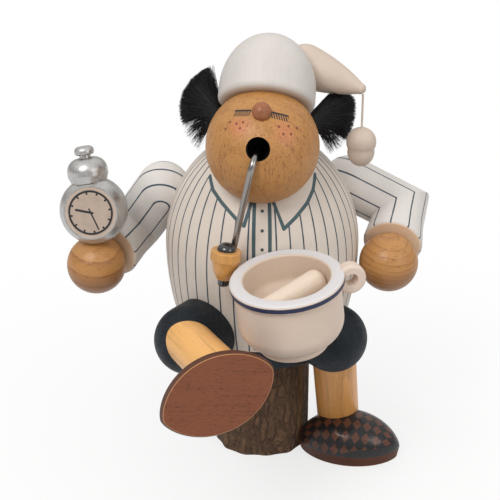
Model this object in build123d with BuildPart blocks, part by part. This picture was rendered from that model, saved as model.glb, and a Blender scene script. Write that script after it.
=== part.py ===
from build123d import *
import os
from math import asin, cos, degrees, radians, sin, sqrt

# Sitting wooden incense smoker in a nightshirt and nightcap.
# Millimetres, +Z up, the figure faces -Y, origin on the floor under the middle of the log.
# "right" and "left" are the figure's own sides: its right hand is at -X.
# A bearing is turned from straight ahead (-Y) towards the figure's left (+X);
# an elevation rises above level. Both are in degrees.

# Log that the figure sits on
log_radius = 24.8
log_height = 58.0
bark_depth = 0.45
bark_ridges = 13
bark_waves = 5
bark_points = 39

# Seat disc with the spigot that locates the lift-off body, and the incense plate
seat_thickness = 12.0
seat_foot_radius = 39.5
seat_edge_radius = 3.0
spigot_height = 8.0
spigot_clearance = 0.4
spigot_chamfer = 1.0
seat_peg_radius = 5.0
seat_peg_length = 24.0
plate_radius = 13.0
plate_thickness = 0.8
plate_rim_height = 2.4
plate_pin_radius = 1.2
plate_pin_length = 6.0

# Hollow egg-shaped body
body_radius = 49.0
body_lower_height = 42.6
body_lower_semi = 85.0
body_upper_semi = 57.5
chamber_radius = 33.0
chamber_wall_height = 48.0
chamber_dome_height = 24.0

# Head, set into the top of the body and leaning forward
head_radius = 26.5
head_lean = 30.2
head_seat_depth = 11.3
mouth_radius = 5.35
mouth_depth = 12.0
mouth_bearing = -4.6
mouth_elevation = 13.8
smoke_bore_radius = 3.2
bush_wall = 2.4
bush_length = 14.0
nose_radius = 4.3
nose_stand_out = 1.0
nose_elevation = 55.0

# Nightcap, its hanging end, and the tassel
cap_bearing = 173.0
cap_elevation = 51.3
cap_rim_rise = 19.7
cap_rim_radius = 22.9
cap_height = 36.2
cap_shoulder_height = 8.0
cap_edge_radius = 3.6
tail_rise = 28.0
tail_reach = 20.7
tail_turn = 31.6
tail_bearing = 61.6
tail_elevation = -14.3
tail_length = 30.4
tail_base_radius = 10.7
tail_tip_radius = 2.7
tail_bulge = 1.4
tail_peg_radius = 2.5
tail_peg_length = 17.0
tail_peg_inset = 3.0
tassel_bearing = 60.0
tassel_elevation = -60.0
tassel_stand_off = 0.2
cord_radius = 0.5
cord_length = 31.0
cord_clearance = 0.4
pompom_radius = 7.1
pompom_lobe_radius = 6.4
pompom_groove_radius = 5.9
pompom_height = 18.8
pompom_groove_height = 4.9
pompom_drop = 17.0
pompom_top_rounding = 6.9
pompom_edge_radius = 4.4
pompom_groove_flare = 1.3

# Side hair, one fan over each ear
hair_elevation = 12.0
hair_bearing = 129.0
hair_root_depth = 5.0
hair_lie_bearing = 127.0
hair_root_radius = 2.0
hair_root_thickness = 4.4
hair_thickness = 6.0
hair_tip_thickness = 1.2
hair_belly_share = 0.55
right_hair_length = 26.0
right_hair_low = -62.0
right_hair_high = 84.0
left_hair_length = 24.5
left_hair_low = -60.0
left_hair_high = 42.0

# Tobacco pipe: a bent steel stem from the mouth and a turned bowl
stem_radius = 1.5
stem_bend_radius = 6.0
stem_root_depth = 11.0
stem_lip_drop = 3.3
stem_lip_side = -1.2
stem_slope_share = 0.27
stem_drift_share = 0.078
stem_knee_reach = 4.5
stem_in_bowl = 3.5
bowl_side_bearing = -16.05
bowl_stand_off = 5.5
bowl_top_rise = 17.4
bowl_bearing = 110.0
bowl_elevation = 84.0
bowl_radius = 7.1
bowl_head_height = 4.6
bowl_neck_radius = 6.6
bowl_foot_radius = 3.4
bowl_belly_radius = 5.35
bowl_belly_drop = 6.2
bowl_belly_rounding = 12.0
bowl_foot_height = 9.6
bowl_edge_radius = 0.8
stem_seat_radius = 4.9
stem_seat_bearing = 138.0
pipe_lid_radius = 4.4
pipe_lid_height = 3.6
pipe_tip_radius = 2.8
pipe_tip_height = 3.6
pipe_spigot_radius = 1.2
pipe_spigot_length = 3.0

# Arms: two mitred lengths of round sleeve, with a ball for each hand
arm_radius = 13.85
upper_arm_length = 31.5
forearm_length = 27.7
cuff_radius = 15.3
cuff_edge_radius = 1.5
sleeve_straight = 13.0
elbow_round_radius = 18.3
hand_radius = 14.85
hand_seat_depth = 1.35
arm_peg_radius = 3.0
arm_peg_length = 15.0
right_shoulder_bearing = -102.7
right_shoulder_rise = 23.9
right_shoulder_stand_off = 7.4
right_upper_bearing = -131.7
right_upper_elevation = -49.6
right_fore_bearing = -26.2
right_fore_elevation = -12.8
left_shoulder_bearing = 121.8
left_shoulder_rise = 22.1
left_shoulder_stand_off = 7.7
left_upper_bearing = 88.7
left_upper_elevation = -27.4
left_fore_bearing = -13.7
left_fore_elevation = -22.0

# Alarm clock standing on the right hand
clock_radius = 16.6
clock_half_depth = 9.0
clock_face_radius = 12.6
clock_lip_width = 0.8
clock_shoulder_height = 5.0
clock_shoulder_rounding = 5.0
clock_back_rounding = 8.0
clock_face_recess = 0.8
clock_dial_thickness = 0.6
clock_seat_depth = 1.5
clock_stand_bearing = 20.0
clock_stand_elevation = 87.0
clock_face_bearing = -4.1
clock_face_elevation = 9.9
clock_roll = 9.2
clock_top_flat = 14.2
bell_radius = 10.0
bell_height = 12.0
bell_foot_radius = 8.8
bell_belly_height = 3.4
bell_top_radius = 3.4
bell_belly_rounding = 1.0
bell_spigot_radius = 2.0
bell_spigot_length = 6.0
knob_radius = 4.9
knob_height = 5.6
knob_neck_radius = 2.9
knob_neck_height = 1.4
knob_edge_radius = 1.2
knob_top_rounding = 2.4
knob_spigot_radius = 1.5
knob_spigot_length = 3.0
clock_peg_radius = 2.0
clock_peg_length = 12.0

# Chamber pot held against the belly, its ring handle and its filling
pot_bearing = 10.1
pot_drop = 5.8
pot_gap = 0.5
pot_tilt_bearing = -42.5
pot_tilt_elevation = 80.7
pot_height = 35.8
pot_hold_height = 18.0
pot_radius = 24.3
pot_rim_radius = 26.1
pot_rim_height = 4.4
pot_rim_edge_radius = 1.4
pot_mouth_radius = 19.7
pot_mouth_edge_radius = 0.9
pot_foot_radius = 16.4
pot_foot_height = 3.0
pot_groove_depth = 0.7
pot_groove_height = 0.8
pot_belly_height = 7.0
pot_belly_rounding = 10.0
pot_pocket_depth = 15.5
pot_pocket_corner = 4.0
pot_peg_radius = 2.5
pot_peg_length = 14.0
handle_radius = 7.0
handle_hole_radius = 3.0
handle_thickness = 7.0
handle_edge_radius = 1.6
handle_rise = 30.0
handle_reach = 28.6
handle_turn = 8.0
handle_bearing = 14.0
roll_radius = 6.3
roll_thin_radius = 4.6
roll_run = 26.6
roll_seat_depth = 0.5
roll_turn = 35.0

# Legs: round thighs, round shins and turned half-spindle shoes
thigh_radius = 16.9
thigh_length = 34.0
shell_clearance = 0.5
shin_radius = 11.0
leg_peg_radius = 2.4
leg_peg_length = 24.0
leg_peg_inset = 12.4
leg_peg_rise = 6.0
leg_peg_elevation = 13.0
left_thigh_bearing = 44.4
left_thigh_stand_off = 7.9
left_thigh_rise = 0.0
left_thigh_lie_bearing = 38.0
left_thigh_elevation = 0.0
left_ankle_splay = 5.3
left_ankle_set_back = 26.0
left_toe_bearing = 53.0
right_thigh_bearing = -35.0
right_thigh_stand_off = 18.6
right_thigh_rise = 5.7
right_thigh_lie_bearing = -25.0
right_thigh_elevation = 6.0
right_knee_shift = 4.5
right_knee_lift = 3.4
right_shin_bearing = 28.1
right_shin_elevation = -1.0
right_shin_length = 51.2
right_sole_bearing = 8.7
right_sole_elevation = 22.2
right_toe_turn = -36.0
shoe_length = 55.0
shoe_width = 35.6
shoe_tip_radius = 5.0
shoe_sole_height = 6.0
shoe_sole_taper = 12.0
ankle_set_back = 9.0
ankle_height = 21.0
shin_in_shoe = 8.0

# One overrun serves every cut; each ball's seam dips below the face
overrun = 30.0
pole_dip = -40.0

os.makedirs("parts", exist_ok=True)


def finish(builder, name):
    """Label a finished piece and write it out under its own name."""
    builder.part.label = name
    export_step(builder.part, f"parts/{name}.step")


def toward(bearing, elevation):
    """Unit vector along a bearing and an elevation."""
    level = cos(radians(elevation))
    turn = radians(bearing)
    return Vector(level * sin(turn), -level * cos(turn), sin(radians(elevation)))


def facing(origin, direction):
    """Plane that faces along a direction, with its X level and its Y rising."""
    side = Vector(0, 0, 1).cross(direction)
    if side.length == 0:
        side = Vector(1, 0, 0)
    return Plane(origin=origin, x_dir=side, z_dir=direction)


def upright(origin, direction):
    """Plane that faces along a direction, with its X to the figure's left."""
    return Plane(origin=origin, x_dir=Vector(0, 1, 0).cross(direction), z_dir=direction)


def rolled(frame, turn):
    """The same plane, its X turned about its own normal."""
    across = frame.x_dir * cos(radians(turn)) + frame.y_dir * sin(radians(turn))
    return Plane(origin=frame.origin, x_dir=across, z_dir=frame.z_dir)


def axis_of(frame):
    """Turning axis of a frame."""
    return Axis(frame.origin, frame.z_dir)


def section_plane(frame):
    """Plane for a half section: X outwards from the frame's axis, Y along it."""
    return Plane(origin=frame.origin, x_dir=frame.x_dir, z_dir=-frame.y_dir)


def half_section(frame, corners):
    """Closed half section through corners of (radius, height, rounding)."""
    with BuildSketch(section_plane(frame)) as section:
        with BuildLine():
            points = [(across, along) for across, along, rounding in corners]
            roundings = [rounding for across, along, rounding in corners]
            FilletPolyline(points, radius=roundings, close=True)
        make_face()
    return section.sketch


def oval_arc(middle, across, along, start, end):
    """Arc of an ellipse about a middle height on the axis, as one weighted curve."""
    spread = cos(radians(end - start) / 2)
    shape = [(start, 1), ((start + end) / 2, 1 / spread), (end, 1)]
    points = [
        (across * cos(radians(angle)) * pull, middle + along * sin(radians(angle)) * pull)
        for angle, pull in shape
    ]
    return Bezier(*points, weights=[1, spread, 1])


def peg(start, direction, radius, length):
    """Round bar from a start point along a direction."""
    with BuildPart() as bar:
        with BuildSketch(facing(start, direction)):
            Circle(radius)
        extrude(amount=length)
    return bar.part


def ball(centre, radius):
    """Ball about a centre, its poles level at the sides."""
    with BuildPart(Plane(origin=centre, x_dir=toward(0, pole_dip), z_dir=(1, 0, 0))) as form:
        Sphere(radius)
    return form.part


def cut_each(forms):
    """Cut forms out of the part in hand, one after another."""
    for form in forms:
        add(form, mode=Mode.SUBTRACT)


def write_pegs(name, pegs):
    """Write equal pegs as one piece."""
    with BuildPart() as group:
        add(pegs)
    finish(group, name)


# Body: heights and widths that the rest hangs on
seat_top = log_height + seat_thickness
body_middle = seat_top + body_lower_height
body_centre = Vector(0, 0, body_middle)
foot_angle = degrees(asin(body_lower_height / body_lower_semi))
body_foot_radius = body_radius * cos(radians(foot_angle))
spigot_radius = chamber_radius - spigot_clearance
spigot_top = seat_top + spigot_height


def body_radius_at(rise):
    """Outer radius of the body at a height above its widest line."""
    semi = body_upper_semi if rise > 0 else body_lower_semi
    return body_radius * sqrt(1 - (rise / semi) ** 2)


def egg(growth):
    """Solid egg of the body's outer form, grown all round."""
    radius = body_radius + growth
    lower = body_lower_semi + growth
    upper = body_upper_semi + growth
    foot = body_middle - lower * sin(radians(foot_angle))
    with BuildPart() as form:
        with BuildSketch(section_plane(Plane.XY)):
            with BuildLine():
                oval_arc(body_middle, radius, lower, -foot_angle, 0)
                oval_arc(body_middle, radius, upper, 0, 90)
                Polyline((0, body_middle + upper), (0, foot), (radius * cos(radians(foot_angle)), foot))
            make_face()
        revolve(axis=Axis.Z)
    return form.part


body_form = egg(0)
body_space = egg(shell_clearance)

# Head place: the ball sinks into the front of the body's top
lean_across = sin(radians(head_lean)) / body_radius
lean_up = cos(radians(head_lean)) / body_upper_semi
body_skin = 1 / sqrt(lean_across**2 + lean_up**2)
head_direction = toward(0, 90 - head_lean)
head_centre = body_centre + head_direction * (body_skin + head_radius - head_seat_depth)
head_form = ball(head_centre, head_radius)
mouth_frame = facing(head_centre, toward(mouth_bearing, mouth_elevation))
mouth_floor = head_radius - mouth_depth
mouth_back = mouth_frame.from_local_coords(Vector(0, 0, mouth_floor))

# Smoke bore: straight from the chamber through the neck to the mouth
neck_point = head_centre - head_direction * head_radius
smoke_run = mouth_back - neck_point
smoke_axis = smoke_run.normalized()
smoke_bore_start = neck_point - smoke_axis * overrun
smoke_bore = peg(smoke_bore_start, smoke_axis, smoke_bore_radius, smoke_run.length + overrun)
bush_start = neck_point - smoke_axis * (bush_length / 2)
bush_form = peg(bush_start, smoke_axis, smoke_bore_radius + bush_wall, bush_length)

# Arm places, worked out from the shoulders towards the hands
arms = {
    "right": dict(
        outward=toward(right_shoulder_bearing, 0),
        rise=right_shoulder_rise,
        stand_off=right_shoulder_stand_off,
        upper=toward(right_upper_bearing, right_upper_elevation),
        fore=toward(right_fore_bearing, right_fore_elevation),
    ),
    "left": dict(
        outward=toward(left_shoulder_bearing, 0),
        rise=left_shoulder_rise,
        stand_off=left_shoulder_stand_off,
        upper=toward(left_upper_bearing, left_upper_elevation),
        fore=toward(left_fore_bearing, left_fore_elevation),
    ),
}
for arm in arms.values():
    reach = body_radius_at(arm["rise"]) + arm["stand_off"]
    arm["shoulder"] = body_centre + arm["outward"] * reach + Vector(0, 0, arm["rise"])
    arm["elbow"] = arm["shoulder"] + arm["upper"] * upper_arm_length
    arm["cuff"] = arm["elbow"] + arm["fore"] * forearm_length
    arm["hand"] = arm["cuff"] + arm["fore"] * (hand_radius - hand_seat_depth)
    arm["mitre"] = (arm["upper"] + arm["fore"]).normalized()
    half = arm_peg_length / 2
    joints = [
        (arm["shoulder"] - arm["outward"] * arm["stand_off"], arm["outward"]),
        (arm["elbow"], arm["mitre"]),
        (arm["cuff"], arm["fore"]),
    ]
    arm["pegs"] = [peg(at - along * half, along, arm_peg_radius, arm_peg_length) for at, along in joints]
arm_pegs = arms["right"]["pegs"] + arms["left"]["pegs"]

# Pot place: its belly stands just off the body's and a peg joins the two
pot_axis = toward(pot_tilt_bearing, pot_tilt_elevation)
pot_outward = toward(pot_bearing, 0)
pot_reach = body_radius_at(-pot_drop) + pot_gap + pot_radius
pot_hold = body_centre + pot_outward * pot_reach - Vector(0, 0, pot_drop)
pot_frame = upright(pot_hold - pot_axis * pot_hold_height, pot_axis)
pot_touch = pot_hold - pot_outward * (pot_radius + pot_gap / 2)
pot_peg = peg(pot_touch - pot_outward * (pot_peg_length / 2), pot_outward, pot_peg_radius, pot_peg_length)

# Log stump with shallow bark ridges all round
with BuildPart() as log_stump:
    with BuildSketch():
        with BuildLine():
            ring = []
            for step in range(bark_points):
                angle = radians(360 * step / bark_points)
                reach = log_radius + bark_depth * (cos(bark_ridges * angle) + sin(bark_waves * angle))
                ring.append((reach * cos(angle), reach * sin(angle)))
            Spline(ring, periodic=True)
        make_face()
    extrude(amount=log_height)
    seat_peg_foot = Vector(0, 0, log_height - seat_peg_length / 2)
    seat_peg = peg(seat_peg_foot, Vector(0, 0, 1), seat_peg_radius, seat_peg_length)
    add(seat_peg, mode=Mode.SUBTRACT)
finish(log_stump, "log_stump")
write_pegs("seat_peg", [seat_peg])

# Leg places: each thigh leaves the seat's rim, each shin runs from the knee to the ankle
legs = {
    "left": dict(
        outward=toward(left_thigh_bearing, 0),
        stand_off=left_thigh_stand_off,
        rise=left_thigh_rise,
        lie=toward(left_thigh_lie_bearing, left_thigh_elevation),
    ),
    "right": dict(
        outward=toward(right_thigh_bearing, 0),
        stand_off=right_thigh_stand_off,
        rise=right_thigh_rise,
        lie=toward(right_thigh_lie_bearing, right_thigh_elevation),
    ),
}
for leg in legs.values():
    knee_height = log_height + thigh_radius + leg["rise"]
    leg["knee"] = leg["outward"] * (body_foot_radius + leg["stand_off"]) + Vector(0, 0, knee_height)

# The left foot stands on the floor, the right leg is stretched forward with its sole showing
knee = legs["left"]["knee"]
ankle = Vector(knee.X + left_ankle_splay, knee.Y + left_ankle_set_back, ankle_height)
legs["left"]["ankle"] = ankle
legs["left"]["shin_start"] = knee
legs["left"]["shoe"] = Plane(
    origin=ankle - Vector(0, 0, ankle_height) + toward(left_toe_bearing, 0) * ankle_set_back,
    x_dir=toward(left_toe_bearing, 0),
    z_dir=(0, 0, 1),
)
knee = legs["right"]["knee"]
shin_start = knee + Vector(-right_knee_shift, 0, right_knee_lift)
ankle = shin_start + toward(right_shin_bearing, right_shin_elevation) * right_shin_length
sole = rolled(facing(ankle, -toward(right_sole_bearing, right_sole_elevation)), right_toe_turn)
legs["right"]["ankle"] = ankle
legs["right"]["shin_start"] = shin_start
legs["right"]["shoe"] = Plane(
    origin=ankle - sole.z_dir * ankle_height + sole.x_dir * ankle_set_back,
    x_dir=sole.x_dir,
    z_dir=sole.z_dir,
)
for leg in legs.values():
    run = leg["ankle"] - leg["shin_start"]
    leg["shin_axis"] = run.normalized()
    leg["shin_length"] = run.length + shin_in_shoe
    leg["shin_form"] = peg(leg["shin_start"], leg["shin_axis"], shin_radius, leg["shin_length"])

# Thigh pegs slope up out of the seat disc, below the lift-off body
for leg in legs.values():
    inner = leg["knee"] - leg["lie"] * leg["stand_off"]
    around = Vector(inner.X, inner.Y, 0).normalized()
    slope = around * cos(radians(leg_peg_elevation)) + Vector(0, 0, sin(radians(leg_peg_elevation)))
    start = around * (body_foot_radius - leg_peg_inset) + Vector(0, 0, log_height + leg_peg_rise)
    leg["peg"] = peg(start, slope, leg_peg_radius, leg_peg_length)
write_pegs("leg_pegs", [leg["peg"] for leg in legs.values()])

# Seat disc: the trousers' upper half, with the spigot for the hollow body
with BuildPart() as seat_base:
    corners = [
        (0, log_height, 0),
        (seat_foot_radius, log_height, seat_edge_radius),
        (body_foot_radius, seat_top, 0),
        (spigot_radius, seat_top, 0),
        (spigot_radius, spigot_top, spigot_chamfer),
        (0, spigot_top, 0),
    ]
    revolve(half_section(Plane.XY, corners), axis=Axis.Z)
    cut_each([seat_peg] + [leg["peg"] for leg in legs.values()])
    with Locations((0, 0, spigot_top)):
        Hole(plate_pin_radius, plate_pin_length)
seat_form = seat_base.part
finish(seat_base, "seat_base")

# Metal dish for the incense cone, with the pin that holds it
with BuildPart() as cone_plate:
    plate_top = spigot_top + plate_thickness
    rim_top = spigot_top + plate_rim_height
    corners = [
        (0, spigot_top - plate_pin_length, 0),
        (plate_pin_radius, spigot_top - plate_pin_length, 0),
        (plate_pin_radius, spigot_top, 0),
        (plate_radius, spigot_top, 0),
        (plate_radius, rim_top, 0),
        (plate_radius - plate_thickness, rim_top, 0),
        (plate_radius - plate_thickness, plate_top, 0),
        (0, plate_top, 0),
    ]
    revolve(half_section(Plane.XY, corners), axis=Axis.Z)
finish(cone_plate, "cone_plate")

for name, leg in legs.items():
    # Thigh: a round bar with a domed knee, hollowed where it meets the seat and the body
    with BuildPart() as thigh:
        with Locations(leg["knee"]):
            Sphere(thigh_radius)
        add(peg(leg["knee"], -leg["lie"], thigh_radius, thigh_length))
        add(body_space, mode=Mode.SUBTRACT)
        with BuildSketch(Plane.XY.offset(log_height - overrun)):
            Circle(seat_foot_radius)
        extrude(amount=overrun, mode=Mode.SUBTRACT)
        with BuildSketch(Plane.XY.offset(log_height)):
            Circle(spigot_radius)
        extrude(amount=seat_thickness, mode=Mode.SUBTRACT)
        cut_each([seat_form, leg["peg"], leg["shin_form"]])
    finish(thigh, f"{name}_thigh")

    # Shoe: half a turned spindle on a sole that narrows to the ground
    with BuildPart() as shoe:
        shoe_plane = leg["shoe"]
        top_plane = shoe_plane.offset(shoe_sole_height)
        with BuildSketch(top_plane) as outline:
            with BuildLine():
                ends = [(-shoe_length / 2, 0), (shoe_length / 2, 0)]
                ThreePointArc(ends[0], (0, shoe_width / 2), ends[1])
                ThreePointArc(ends[1], (0, -shoe_width / 2), ends[0])
            make_face()
            fillet(outline.vertices(), shoe_tip_radius)
        extrude(amount=-shoe_sole_height, taper=shoe_sole_taper)
        with BuildSketch(top_plane):
            add(outline.sketch_local)
            with Locations((0, -shoe_width)):
                Rectangle(shoe_length, shoe_width * 2, mode=Mode.SUBTRACT)
        revolve(axis=Axis(top_plane.origin, top_plane.x_dir), revolution_arc=180)
        add(leg["shin_form"], mode=Mode.SUBTRACT)
    finish(shoe, f"{name}_shoe")

    with BuildPart() as shin:
        add(leg["shin_form"])
        cut_each([body_space, seat_form, leg["peg"]])
    finish(shin, f"{name}_shin")

# Hollow body: the lift-off upper part, open at the foot
with BuildPart() as body_shell:
    add(body_form)
    with BuildSketch(section_plane(Plane.XY)):
        with BuildLine():
            wall_top = seat_top + chamber_wall_height
            dome = oval_arc(wall_top, chamber_radius, chamber_dome_height, 0, 90)
            Polyline(dome @ 1, (0, seat_top), (chamber_radius, seat_top), dome @ 0)
        make_face()
    revolve(axis=Axis.Z, mode=Mode.SUBTRACT)
    shoulder_pegs = [arm["pegs"][0] for arm in arms.values()]
    cut_each([head_form, smoke_bore, bush_form, pot_peg] + shoulder_pegs)
finish(body_shell, "body_shell")

# Sleeve in the neck that carries the smoke from the body to the head
with BuildPart() as neck_bush:
    add(bush_form)
    add(smoke_bore, mode=Mode.SUBTRACT)
finish(neck_bush, "neck_bush")

# Pipe stem: one bent rod from the wood behind the mouth down to the bowl
with BuildPart() as pipe_stem:
    run_out = head_radius + stem_knee_reach
    bends = []
    for reach in (mouth_floor - stem_root_depth, run_out):
        beyond = reach - head_radius
        across = stem_lip_side - stem_drift_share * beyond
        above = -stem_lip_drop - stem_slope_share * beyond
        bends.append(mouth_frame.from_local_coords(Vector(across, above, reach)))
    bowl_reach = body_radius_at(bowl_top_rise) + bowl_stand_off + bowl_radius
    bowl_top = body_centre + toward(bowl_side_bearing, 0) * bowl_reach + Vector(0, 0, bowl_top_rise)
    bowl_frame = upright(bowl_top, toward(bowl_bearing, bowl_elevation))
    seat = bowl_frame.origin + toward(stem_seat_bearing, 0) * stem_seat_radius
    bends.append(seat + (seat - bends[1]).normalized() * stem_in_bowl)
    with BuildLine() as stem_line:
        FilletPolyline(bends, radius=stem_bend_radius)
    with BuildSketch(Plane(origin=stem_line.line @ 0, z_dir=stem_line.line % 0)):
        Circle(stem_radius)
    sweep()
stem_form = pipe_stem.part
finish(pipe_stem, "pipe_stem")

# Head with the open mouth, the nose and the nightcap on top
with BuildPart() as head:
    add(head_form)
    with BuildSketch(mouth_frame.offset(mouth_floor)):
        Circle(mouth_radius)
    extrude(amount=overrun, mode=Mode.SUBTRACT)
    cut_each([smoke_bore, bush_form, stem_form])
finish(head, "head")

with BuildPart() as nose:
    with Locations(head_centre + toward(0, nose_elevation) * (head_radius + nose_stand_out)):
        Sphere(nose_radius)
    add(head_form, mode=Mode.SUBTRACT)
finish(nose, "nose")

cap_axis = toward(cap_bearing, cap_elevation)
cap_frame = upright(head_centre + cap_axis * cap_rim_rise, cap_axis)
tail_way = cap_frame.x_dir * cos(radians(tail_turn)) + cap_frame.y_dir * sin(radians(tail_turn))
tail_way = tail_way.normalized()
tail_root = cap_frame.origin + cap_axis * tail_rise + tail_way * tail_reach
tail_axis = toward(tail_bearing, tail_elevation)
tail_tip = tail_root + tail_axis * tail_length
tail_peg = peg(tail_root + tail_way * tail_peg_inset, -tail_way, tail_peg_radius, tail_peg_length)
tassel_place = tail_tip + toward(tassel_bearing, tassel_elevation) * (tail_tip_radius + tassel_stand_off)

with BuildPart() as nightcap:
    with BuildSketch(section_plane(cap_frame)):
        with BuildLine():
            dome_height = cap_height - cap_shoulder_height
            dome = oval_arc(cap_shoulder_height, cap_rim_radius, dome_height, 0, 90)
            lip = CenterArc((cap_rim_radius - cap_edge_radius, cap_edge_radius), cap_edge_radius, -90, 90)
            Line(lip @ 1, dome @ 0)
            Polyline(dome @ 1, (0, 0), lip @ 0)
        make_face()
    revolve(axis=axis_of(cap_frame))
    add(head_form, mode=Mode.SUBTRACT)
    cap_form = nightcap.part
    add(tail_peg, mode=Mode.SUBTRACT)
finish(nightcap, "nightcap")
write_pegs("tail_peg", [tail_peg])

with BuildPart() as cap_tail:
    tail_frame = upright(tail_root, tail_axis)
    with BuildSketch(section_plane(tail_frame)):
        with BuildLine():
            base = CenterArc((0, 0), tail_base_radius, -90, 90)
            tip = CenterArc((0, tail_length), tail_tip_radius, 0, 90)
            middle = (tail_base_radius + tail_tip_radius) / 2 + tail_bulge
            ThreePointArc(base @ 1, (middle, tail_length / 2), tip @ 0)
            Line(tip @ 1, base @ 0)
        make_face()
    revolve(axis=axis_of(tail_frame))
    cut_each([cap_form, tail_peg, ball(tassel_place, cord_radius + cord_clearance)])
finish(cap_tail, "cap_tail")

# Tassel: a round-ended cord that swings from the tail's tip, and the pompom on it
with BuildPart() as tassel_cord:
    add(ball(tassel_place, cord_radius))
    add(peg(tassel_place, Vector(0, 0, -1), cord_radius, cord_length))
cord_form = tassel_cord.part
finish(tassel_cord, "tassel_cord")

with BuildPart() as pompom:
    pompom_foot = tassel_place - Vector(0, 0, pompom_drop + pompom_height)
    corners = [
        (0, 0, 0),
        (pompom_lobe_radius, 0, pompom_edge_radius),
        (pompom_lobe_radius, pompom_groove_height, 0),
        (pompom_groove_radius, pompom_groove_height, 0),
        (pompom_radius, pompom_groove_height + pompom_groove_flare, 0),
        (pompom_radius, pompom_height, pompom_top_rounding),
        (0, pompom_height, 0),
    ]
    pompom_frame = Plane(pompom_foot)
    revolve(half_section(pompom_frame, corners), axis=axis_of(pompom_frame))
    add(cord_form, mode=Mode.SUBTRACT)
finish(pompom, "pompom")

# Side hair: a tuft over each ear, turned as a fan from a root inside the head
for name, side, length, low, high in (
    ("right", -1, right_hair_length, right_hair_low, right_hair_high),
    ("left", 1, left_hair_length, left_hair_low, left_hair_high),
):
    root = head_centre + toward(side * hair_bearing, hair_elevation) * (head_radius - hair_root_depth)
    out = toward(side * hair_lie_bearing, 0)
    across = out.cross(Vector(0, 0, 1))
    start = out * cos(radians(low)) + Vector(0, 0, sin(radians(low)))
    with BuildPart() as hair:
        with BuildSketch(Plane(origin=root, x_dir=start, z_dir=start.cross(across))):
            with BuildLine():
                roots = (hair_root_radius, hair_root_thickness / 2)
                belly = (length * hair_belly_share, hair_thickness / 2)
                tip = (length, hair_tip_thickness / 2)
                ThreePointArc(roots, belly, tip)
                mirror(about=Plane.XZ)
                Line((roots[0], roots[1]), (roots[0], -roots[1]))
                Line((tip[0], tip[1]), (tip[0], -tip[1]))
            make_face()
        revolve(axis=Axis(root, across), revolution_arc=high - low)
        cut_each([head_form, cap_form, body_form])
    finish(hair, f"{name}_hair")

# Pipe bowl, its lid and its tip
lid_spigot = peg(bowl_frame.origin, -bowl_frame.z_dir, pipe_spigot_radius, pipe_spigot_length)
tip_start = bowl_frame.origin - bowl_frame.z_dir * (bowl_head_height + bowl_foot_height)
tip_spigot = peg(tip_start, bowl_frame.z_dir, pipe_spigot_radius, pipe_spigot_length)
with BuildPart() as pipe_bowl:
    corners = [
        (0, 0, 0),
        (bowl_radius, 0, bowl_edge_radius),
        (bowl_radius, -bowl_head_height, 0),
        (bowl_neck_radius, -bowl_head_height, 0),
        (bowl_belly_radius, -bowl_head_height - bowl_belly_drop, bowl_belly_rounding),
        (bowl_foot_radius, -bowl_head_height - bowl_foot_height, 0),
        (0, -bowl_head_height - bowl_foot_height, 0),
    ]
    revolve(half_section(bowl_frame, corners), axis=axis_of(bowl_frame))
    cut_each([stem_form, lid_spigot, tip_spigot])
finish(pipe_bowl, "pipe_bowl")

with BuildPart() as pipe_lid:
    with BuildSketch(section_plane(bowl_frame)):
        with BuildLine():
            dome = oval_arc(0, pipe_lid_radius, pipe_lid_height, 0, 90)
            Polyline(dome @ 1, (0, 0), dome @ 0)
        make_face()
    revolve(axis=axis_of(bowl_frame))
    add(stem_form, mode=Mode.SUBTRACT)
    add(lid_spigot)
finish(pipe_lid, "pipe_lid")

with BuildPart() as pipe_tip:
    tip_frame = facing(tip_start, -bowl_frame.z_dir)
    corners = [
        (0, 0, 0),
        (pipe_tip_radius, 0, 0),
        (pipe_tip_radius, pipe_tip_height, pipe_tip_radius / 2),
        (0, pipe_tip_height, 0),
    ]
    revolve(half_section(tip_frame, corners), axis=axis_of(tip_frame))
    add(tip_spigot)
finish(pipe_tip, "pipe_tip")

# Arms: two sleeves that meet in a mitre at the elbow, and a ball for the hand
stand = toward(clock_stand_bearing, clock_stand_elevation)
clock_peg_start = arms["right"]["hand"] + stand * (hand_radius - (clock_seat_depth + clock_peg_length) / 2)
clock_peg = peg(clock_peg_start, stand, clock_peg_radius, clock_peg_length)
for name, arm in arms.items():
    outer_corner = (arm["upper"] - arm["fore"]).normalized()
    hand_form = ball(arm["hand"], hand_radius)
    corner_frame = facing(arm["elbow"], outer_corner)
    with BuildPart() as corner_cut:
        with BuildSketch(section_plane(corner_frame)):
            with BuildLine():
                turn = degrees(asin(arm_radius / elbow_round_radius))
                bow = CenterArc((0, 0), elbow_round_radius, 90 - turn, turn)
                Polyline(bow @ 1, (0, overrun), (arm_radius, overrun), bow @ 0)
            make_face()
        revolve(axis=axis_of(corner_frame))
    with BuildPart() as upper_arm:
        add(ball(arm["shoulder"], arm_radius))
        add(peg(arm["shoulder"], arm["upper"], arm_radius, upper_arm_length + arm_radius))
        add(peg(arm["elbow"], arm["mitre"], overrun, overrun), mode=Mode.SUBTRACT)
        cut_each([corner_cut.part, body_form] + arm["pegs"][:2])
    finish(upper_arm, f"{name}_upper_arm")

    with BuildPart() as forearm:
        corners = [
            (0, -arm_radius, 0),
            (arm_radius, -arm_radius, 0),
            (arm_radius, sleeve_straight, 0),
            (cuff_radius, forearm_length, cuff_edge_radius),
            (0, forearm_length, 0),
        ]
        sleeve_frame = facing(arm["elbow"], arm["fore"])
        revolve(half_section(sleeve_frame, corners), axis=axis_of(sleeve_frame))
        add(peg(arm["elbow"], -arm["mitre"], overrun, overrun), mode=Mode.SUBTRACT)
        cut_each([corner_cut.part, hand_form] + arm["pegs"][1:])
    finish(forearm, f"{name}_forearm")

    with BuildPart() as hand:
        add(hand_form)
        cut_each(arm["pegs"][2:])
        if name == "right":
            add(clock_peg, mode=Mode.SUBTRACT)
    finish(hand, f"{name}_hand")
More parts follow.
